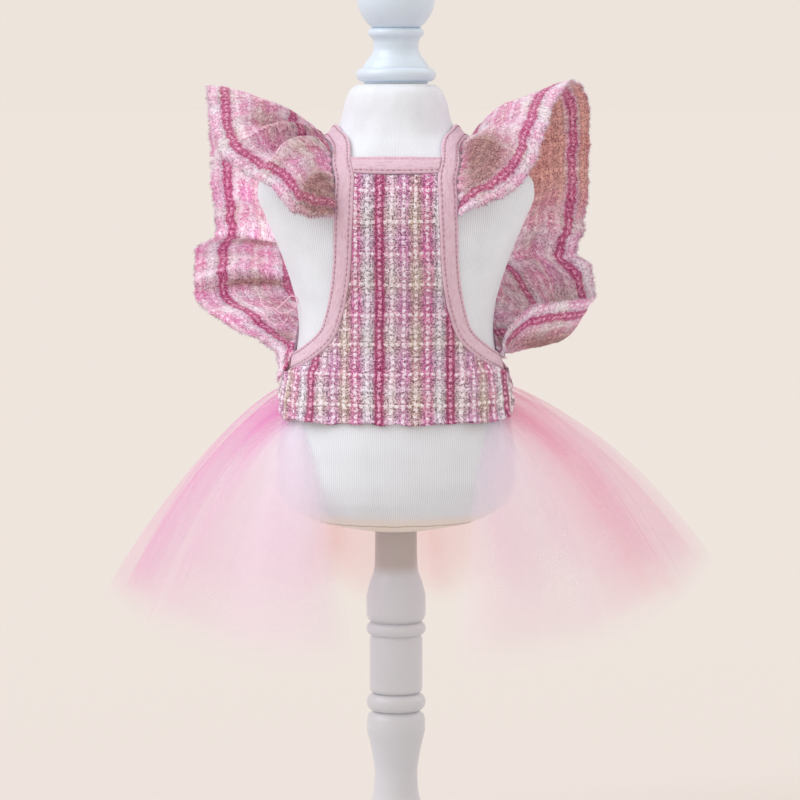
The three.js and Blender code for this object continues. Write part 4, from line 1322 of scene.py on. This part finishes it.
def curve_through(rows, steps=5):
    """More rows between those of a turned profile, on smooth curves."""
    table = Table("at z r", *[(k, z, r) for k, (z, r) in enumerate(rows)])
    at = np.linspace(0, len(rows) - 1, (len(rows) - 1) * steps + 1)
    return list(zip(table.at(at, "z"), table.at(at, "r")))


def raised(name, rows, sides):
    """A closed solid raised ring by ring from rows of (height, half width, half depth) in metres."""
    bpy.ops.object.select_all(action="DESELECT")
    z, wide, deep = rows[0]
    bpy.ops.mesh.primitive_circle_add(vertices=sides, radius=1.0, fill_type="NGON", location=(0, 0, 0))
    piece = bpy.context.object
    piece.name = piece.data.name = name
    bpy.ops.object.mode_set(mode="EDIT")
    bpy.ops.mesh.select_mode(type="FACE")
    bpy.ops.mesh.select_all(action="SELECT")
    bpy.ops.transform.resize(value=(wide, deep, 1))
    bpy.ops.transform.translate(value=(0, 0, z))
    for (low, w0, d0), (high, w1, d1) in zip(rows, rows[1:]):
        bpy.ops.mesh.extrude_region_move(TRANSFORM_OT_translate={"value": (0, 0, high - low)})
        bpy.ops.transform.resize(value=(w1 / w0, d1 / d0, 1))
    bpy.ops.mesh.select_all(action="SELECT")
    bpy.ops.mesh.normals_make_consistent(inside=False)
    bpy.ops.object.mode_set(mode="OBJECT")
    return piece


def turned(name, profile, sides, foot):
    """A turned piece from its profile of (height above its foot, radius) in millimetres."""
    rows = [((z + foot) * MM, r * MM, r * MM) for z, r in profile]
    return raised(name, rows, sides)


def finish_hard(piece, replaced, material, angle=50):
    """Finishes a hard piece: smooth but for the edges sharper than the angle."""
    bpy.ops.object.select_all(action="DESELECT")
    piece.select_set(True)
    bpy.context.view_layer.objects.active = piece
    bpy.ops.object.shade_smooth_by_angle(angle=math.radians(angle))
    return settle(piece, replaced, material)


def torso_rows():
    """The form's sections up its height, closer where it curves, with the cover's seam near the foot."""
    stretches = ((FORM_FOOT, 162.0, 5), (162.4, 180, 20), (183, 330, 50), (332, FORM_TOP, 40))
    heights = np.concatenate([np.linspace(*stretch) for stretch in stretches])
    half, deep = FORM.at(heights, "half"), FORM.at(heights, "deep")
    tuck = 1.2 * hump(heights, FOOT_SEAM, 0.6)
    heights = heights + FOOT_LIFT * (1 - smooth(heights, 162, 210))
    return [((z + DATUM) * MM, (w - t) * MM, (d - t) * MM) for z, w, d, t in zip(heights, half, deep, tuck)]


def cloth_coordinates(mesh):
    """UV of the form's cover: distance round it and height, in millimetres."""
    layer = mesh.uv_layers.new(name="cloth")
    for polygon in mesh.polygons:
        corners = [mesh.vertices[index].co for index in polygon.vertices]
        turns = [math.atan2(co.x, -co.y) for co in corners]
        if max(turns) - min(turns) > math.pi:
            turns = [t + 2 * math.pi if t < 0 else t for t in turns]
        for loop, co, turn in zip(polygon.loop_indices, corners, turns):
            layer.uv[loop].vector = (turn * FORM_REACH, co.z / MM)


CAP_PROFILE = (
    [(FORM_TOP + SEAM, 15.5), (FORM_TOP + SEAM, 16.6), (FORM_TOP + SEAM + 0.4, 17), (400.4, 17)]
    + bead(404, 3.6, -90, 90, 10, 17.6)
    + curve_through([(408.4, 17.4), (411.2, 15.6), (414.5, 13), (418, 11.9), (421.6, 12.1)])
    + bead(426, 2.6, -70, 70, 8, 12.2)
    + bead(BALL_CENTRE, BALL_RADIUS, -54, 88.5, 34)
)

POST_FOOT = BASE_TOP + SEAM - DATUM
POST_PROFILE = (
    [(POST_FOOT, 18.4), (POST_FOOT, 18.9)]
    + bead(POST_FOOT + 3.4, 3.4, -70, 80, 8, 16.2)
    + curve_through([(POST_FOOT + 8.5, 14.6), (POST_FOOT + 15, 15.4), (12, 14.4), (22, 12), (32, 11.4),
                     (42, 12.6), (55, 15.5)])
    + [(61.2, 15.5), (61.9, 15.2), (63.5, 15)]
    + bead(70.5, 5, -75, 75, 10, 10.8)
    + [(76.4, 13.6), (77.5, 14), (78.5, 14.05), (91, 14.1), (104.6, 14.05), (105.4, 13.6)]
    + bead(110, 3.6, -75, 75, 8, 12.3)
    + [(114.6, 14.2), (115, 14.8)]
    + curve_through([(117.5, 15.8), (126, 15.8), (134, 14.2), (144, 11.4), (POST_TOP + FOOT_LIFT, 11.1)])
)

BASE_PROFILE = (
    [(0, 70), (0, BASE_RADIUS - 1.5), (0.4, BASE_RADIUS - 0.4), (1.5, BASE_RADIUS), (6.2, BASE_RADIUS)]
    + curve_through([(6.5, BASE_RADIUS), (8.2, BASE_RADIUS - 0.9), (9.4, BASE_RADIUS - 2.5),
                     (10.6, BASE_RADIUS - 7)], 4)
    + curve_through([(10.7, BASE_RADIUS - 9), (11.4, 60), (12.6, 36), (14.4, 27.5),
                     (BASE_TOP, 26), (BASE_TOP, 20)], 4)
)


# ---------------------------------------------------------------- operators
class PETDRESS_OT_finishes(bpy.types.Operator):
    """Makes the materials from the settings"""

    bl_idname = "petdress.finishes"
    bl_label = "Finishes"

    def execute(self, context):
        scene = context.scene
        for make in (tweed_material, tape_material, thread_materials):
            make(scene.petdress_cloth)
        tulle_material()
        for make in (knit_material, paint_material):
            make(scene.petdress_form)
        floor_material(scene.petdress_stage)
        return {"FINISHED"}


class PETDRESS_OT_form(bpy.types.Operator):
    """Adds the knit-covered form"""

    bl_idname = "petdress.form"
    bl_label = "Form"

    def execute(self, context):
        torso = raised("torso", torso_rows(), FORM_SIDES)
        cloth_coordinates(torso.data)
        finish_hard(torso, ["form_torso"], "ribbed knit", angle=60)
        return {"FINISHED"}


class PETDRESS_OT_stand(bpy.types.Operator):
    """Adds the turned cap with its ball, the post and the base"""

    bl_idname = "petdress.stand"
    bl_label = "Cap, post and base"

    def execute(self, context):
        sides = context.scene.petdress_form.sides
        for name, node, profile, foot in (
            ("cap", "form_cap", CAP_PROFILE, DATUM),
            ("post", "stand_post", POST_PROFILE, DATUM),
            ("base", "stand_base", BASE_PROFILE, 0),
        ):
            finish_hard(turned(name, profile, sides, foot), [node], "white paint")
        return {"FINISHED"}


class PETDRESS_OT_panels(bpy.types.Operator):
    """Adds the tweed chest and back panels"""

    bl_idname = "petdress.panels"
    bl_label = "Tweed panels"

    def execute(self, context):
        look = context.scene.petdress_cloth
        chest = bodice_panel("chest", 0.0, SIDE_SEAM - SEAM, HEM_FRONT, front_neck, NECK_END_FRONT,
                             (0.3, 0.44), (26, 138, 190), look)
        back = bodice_panel("back", 180.0, SIDE_SEAM + SEAM, HEM_BACK, back_neck, NECK_END_BACK,
                            (-0.4, -0.28), (20, 130, 170), look)
        return {"FINISHED"}


class PETDRESS_OT_bindings(bpy.types.Operator):
    """Adds the folded tape round the armholes and along the neck"""

    bl_idname = "petdress.bindings"
    bl_label = "Bindings"

    def execute(self, context):
        length = line_length(armhole_place)
        shares = np.arange(400) / 400
        for side, mirrored in (("right", False), ("left", True)):
            piece = binding("armhole_tape_" + side, armhole_place, shares, length, True,
                            ["armhole_binding_" + side], mirrored)
        for side, locate, steps in (("front", FRONT_NECK_PLACE, 60), ("back", BACK_NECK_PLACE, 140)):
            length = line_length(locate)
            name, node = "neck_tape_" + side, "neck_binding_" + side
            piece = binding(name, locate, np.linspace(0, 1, steps), length, False, [node])
        return {"FINISHED"}


class PETDRESS_OT_frills(bpy.types.Operator):
    """Adds the two gathered frills with their frayed edges"""

    bl_idname = "petdress.frills"
    bl_label = "Frills"

    def execute(self, context):
        look = context.scene.petdress_cloth
        for name, table, side, folds, hollows, seed in (
            ("right", FRILL_RIGHT, 1, FOLDS_RIGHT, SHADED_HOLLOWS_RIGHT, 3),
            ("left", FRILL_LEFT, -1, FOLDS_LEFT, SHADED_HOLLOWS_LEFT, 8),
        ):
            piece, *edge = frill_piece(
                "frill_strip_" + name, table, side, folds, hollows, look, ["frill_" + name], seed)
            mesh = fringe("fringe_" + name, *edge, seed)
            frayed = add_piece("fringe_" + name, mesh, [], "boucle tweed")
        return {"FINISHED"}


class PETDRESS_OT_tulle(bpy.types.Operator):
    """Adds the two layers of the net skirt"""

    bl_idname = "petdress.tulle"
    bl_label = "Tulle skirt"

    def execute(self, context):
        look = context.scene.petdress_cloth
        outer = tulle_layer("net_outer", False, look, ["tulle_outer"])
        inner = tulle_layer("net_inner", True, look, ["tulle_inner"])
        return {"FINISHED"}


class PETDRESS_OT_stitching(bpy.types.Operator):
    """Adds the rows of stitches along the tapes and the loose thread end"""

    bl_idname = "petdress.stitching"
    bl_label = "Stitching"

    def execute(self, context):
        loose_thread()
        rows = [stitch_paths(armhole_place, line) * (side, 1, 1)
                for side in (1, -1) for line in (-STITCH_LINE, STITCH_LINE)]
        rows += [stitch_paths(locate, -STITCH_LINE) for locate in (FRONT_NECK_PLACE, BACK_NECK_PLACE)]
        wound = [np.arange(len(row))[:, None] * (1.7, 0.3) for row in rows]
        paths = np.concatenate(rows)
        radii = np.broadcast_to(THREAD_RADIUS * np.array([0.6, 1, 1, 1, 0.6]), paths.shape[:2])
        mesh = strands("stitches", paths, radii, np.concatenate(wound), sides=6)
        add_piece("stitches", mesh, [], "sewing thread")
        return {"FINISHED"}


class PETDRESS_OT_stage(bpy.types.Operator):
    """Adds the floor, the soft light and the camera"""

    bl_idname = "petdress.stage"
    bl_label = "Stage"

    def execute(self, context):
        scene, look = context.scene, context.scene.petdress_stage
        bpy.ops.object.select_all(action="DESELECT")
        bpy.ops.mesh.primitive_circle_add(vertices=96, radius=FLOOR_RADIUS, fill_type="NGON",
                                          location=(0, 0, 0))
        floor = context.object
        floor.name = "floor"
        floor.data.materials.append(bpy.data.materials["pale board"])

        world = bpy.data.worlds.new("surroundings")
        world.use_nodes = True
        background = world.node_tree.nodes["Background"]
        background.inputs["Color"].default_value = (*look.sky, 1)
        background.inputs["Strength"].default_value = look.sky_power
        scene.world = world

        lamps = (("key light", look.key, 44, -72), ("fill light", look.fill, 52, 108))
        for name, strength, tilt, turn in lamps:
            sun = bpy.data.lights.new(name, "SUN")
            sun.energy = strength
            sun.angle = look.spread
            sun.color = look.lamp
            holder = bpy.data.objects.new(name, sun)
            holder.rotation_euler = (math.radians(tilt), 0, math.radians(turn))
            scene.collection.objects.link(holder)

        camera = bpy.data.cameras.new("camera")
        camera.sensor_width = SENSOR
        camera.lens = LENS
        holder = bpy.data.objects.new("camera", camera)
        holder.location = (CAMERA_ASIDE, -look.distance, look.height)
        holder.rotation_euler = (math.pi / 2 - look.pitch, 0, 0)
        scene.collection.objects.link(holder)
        scene.camera = holder
        scene.view_settings.view_transform = "Standard"
        return {"FINISHED"}


class PETDRESS_PT_panel(bpy.types.Panel):
    """Lists what the dress is made of"""

    bl_idname = "PETDRESS_PT_panel"
    bl_label = "Pet dress"
    bl_space_type = "VIEW_3D"
    bl_region_type = "UI"
    bl_category = "Pet dress"

    def draw(self, context):
        for operator in OPERATORS:
            self.layout.operator(operator.bl_idname)
        for group in ("petdress_cloth", "petdress_form", "petdress_stage"):
            box = self.layout.box()
            settings = getattr(context.scene, group)
            for key in settings.bl_rna.properties.keys():
                if key not in ("rna_type", "name"):
                    box.prop(settings, key)


OPERATORS = (
    PETDRESS_OT_finishes, PETDRESS_OT_form, PETDRESS_OT_stand, PETDRESS_OT_panels, PETDRESS_OT_bindings,
    PETDRESS_OT_frills, PETDRESS_OT_tulle, PETDRESS_OT_stitching, PETDRESS_OT_stage,
)
GROUPS = {
    "petdress_cloth": PETDRESS_PG_cloth,
    "petdress_form": PETDRESS_PG_form,
    "petdress_stage": PETDRESS_PG_stage,
}


def register():
    for item in (*GROUPS.values(), *OPERATORS, PETDRESS_PT_panel):
        bpy.utils.register_class(item)
    for name, group in GROUPS.items():
        setattr(bpy.types.Scene, name, PointerProperty(type=group))


def unregister():
    for name in GROUPS:
        delattr(bpy.types.Scene, name)
    for item in reversed((*GROUPS.values(), *OPERATORS, PETDRESS_PT_panel)):
        bpy.utils.unregister_class(item)


def main():
    """Builds the whole scene, piece by piece."""
    register()
    bpy.ops.petdress.finishes()
    bpy.ops.petdress.form()
    bpy.ops.petdress.stand()
    bpy.ops.petdress.panels()
    bpy.ops.petdress.bindings()
    bpy.ops.petdress.frills()
    bpy.ops.petdress.tulle()
    bpy.ops.petdress.stitching()
    bpy.ops.petdress.stage()


if __name__ == "__main__":
    main()
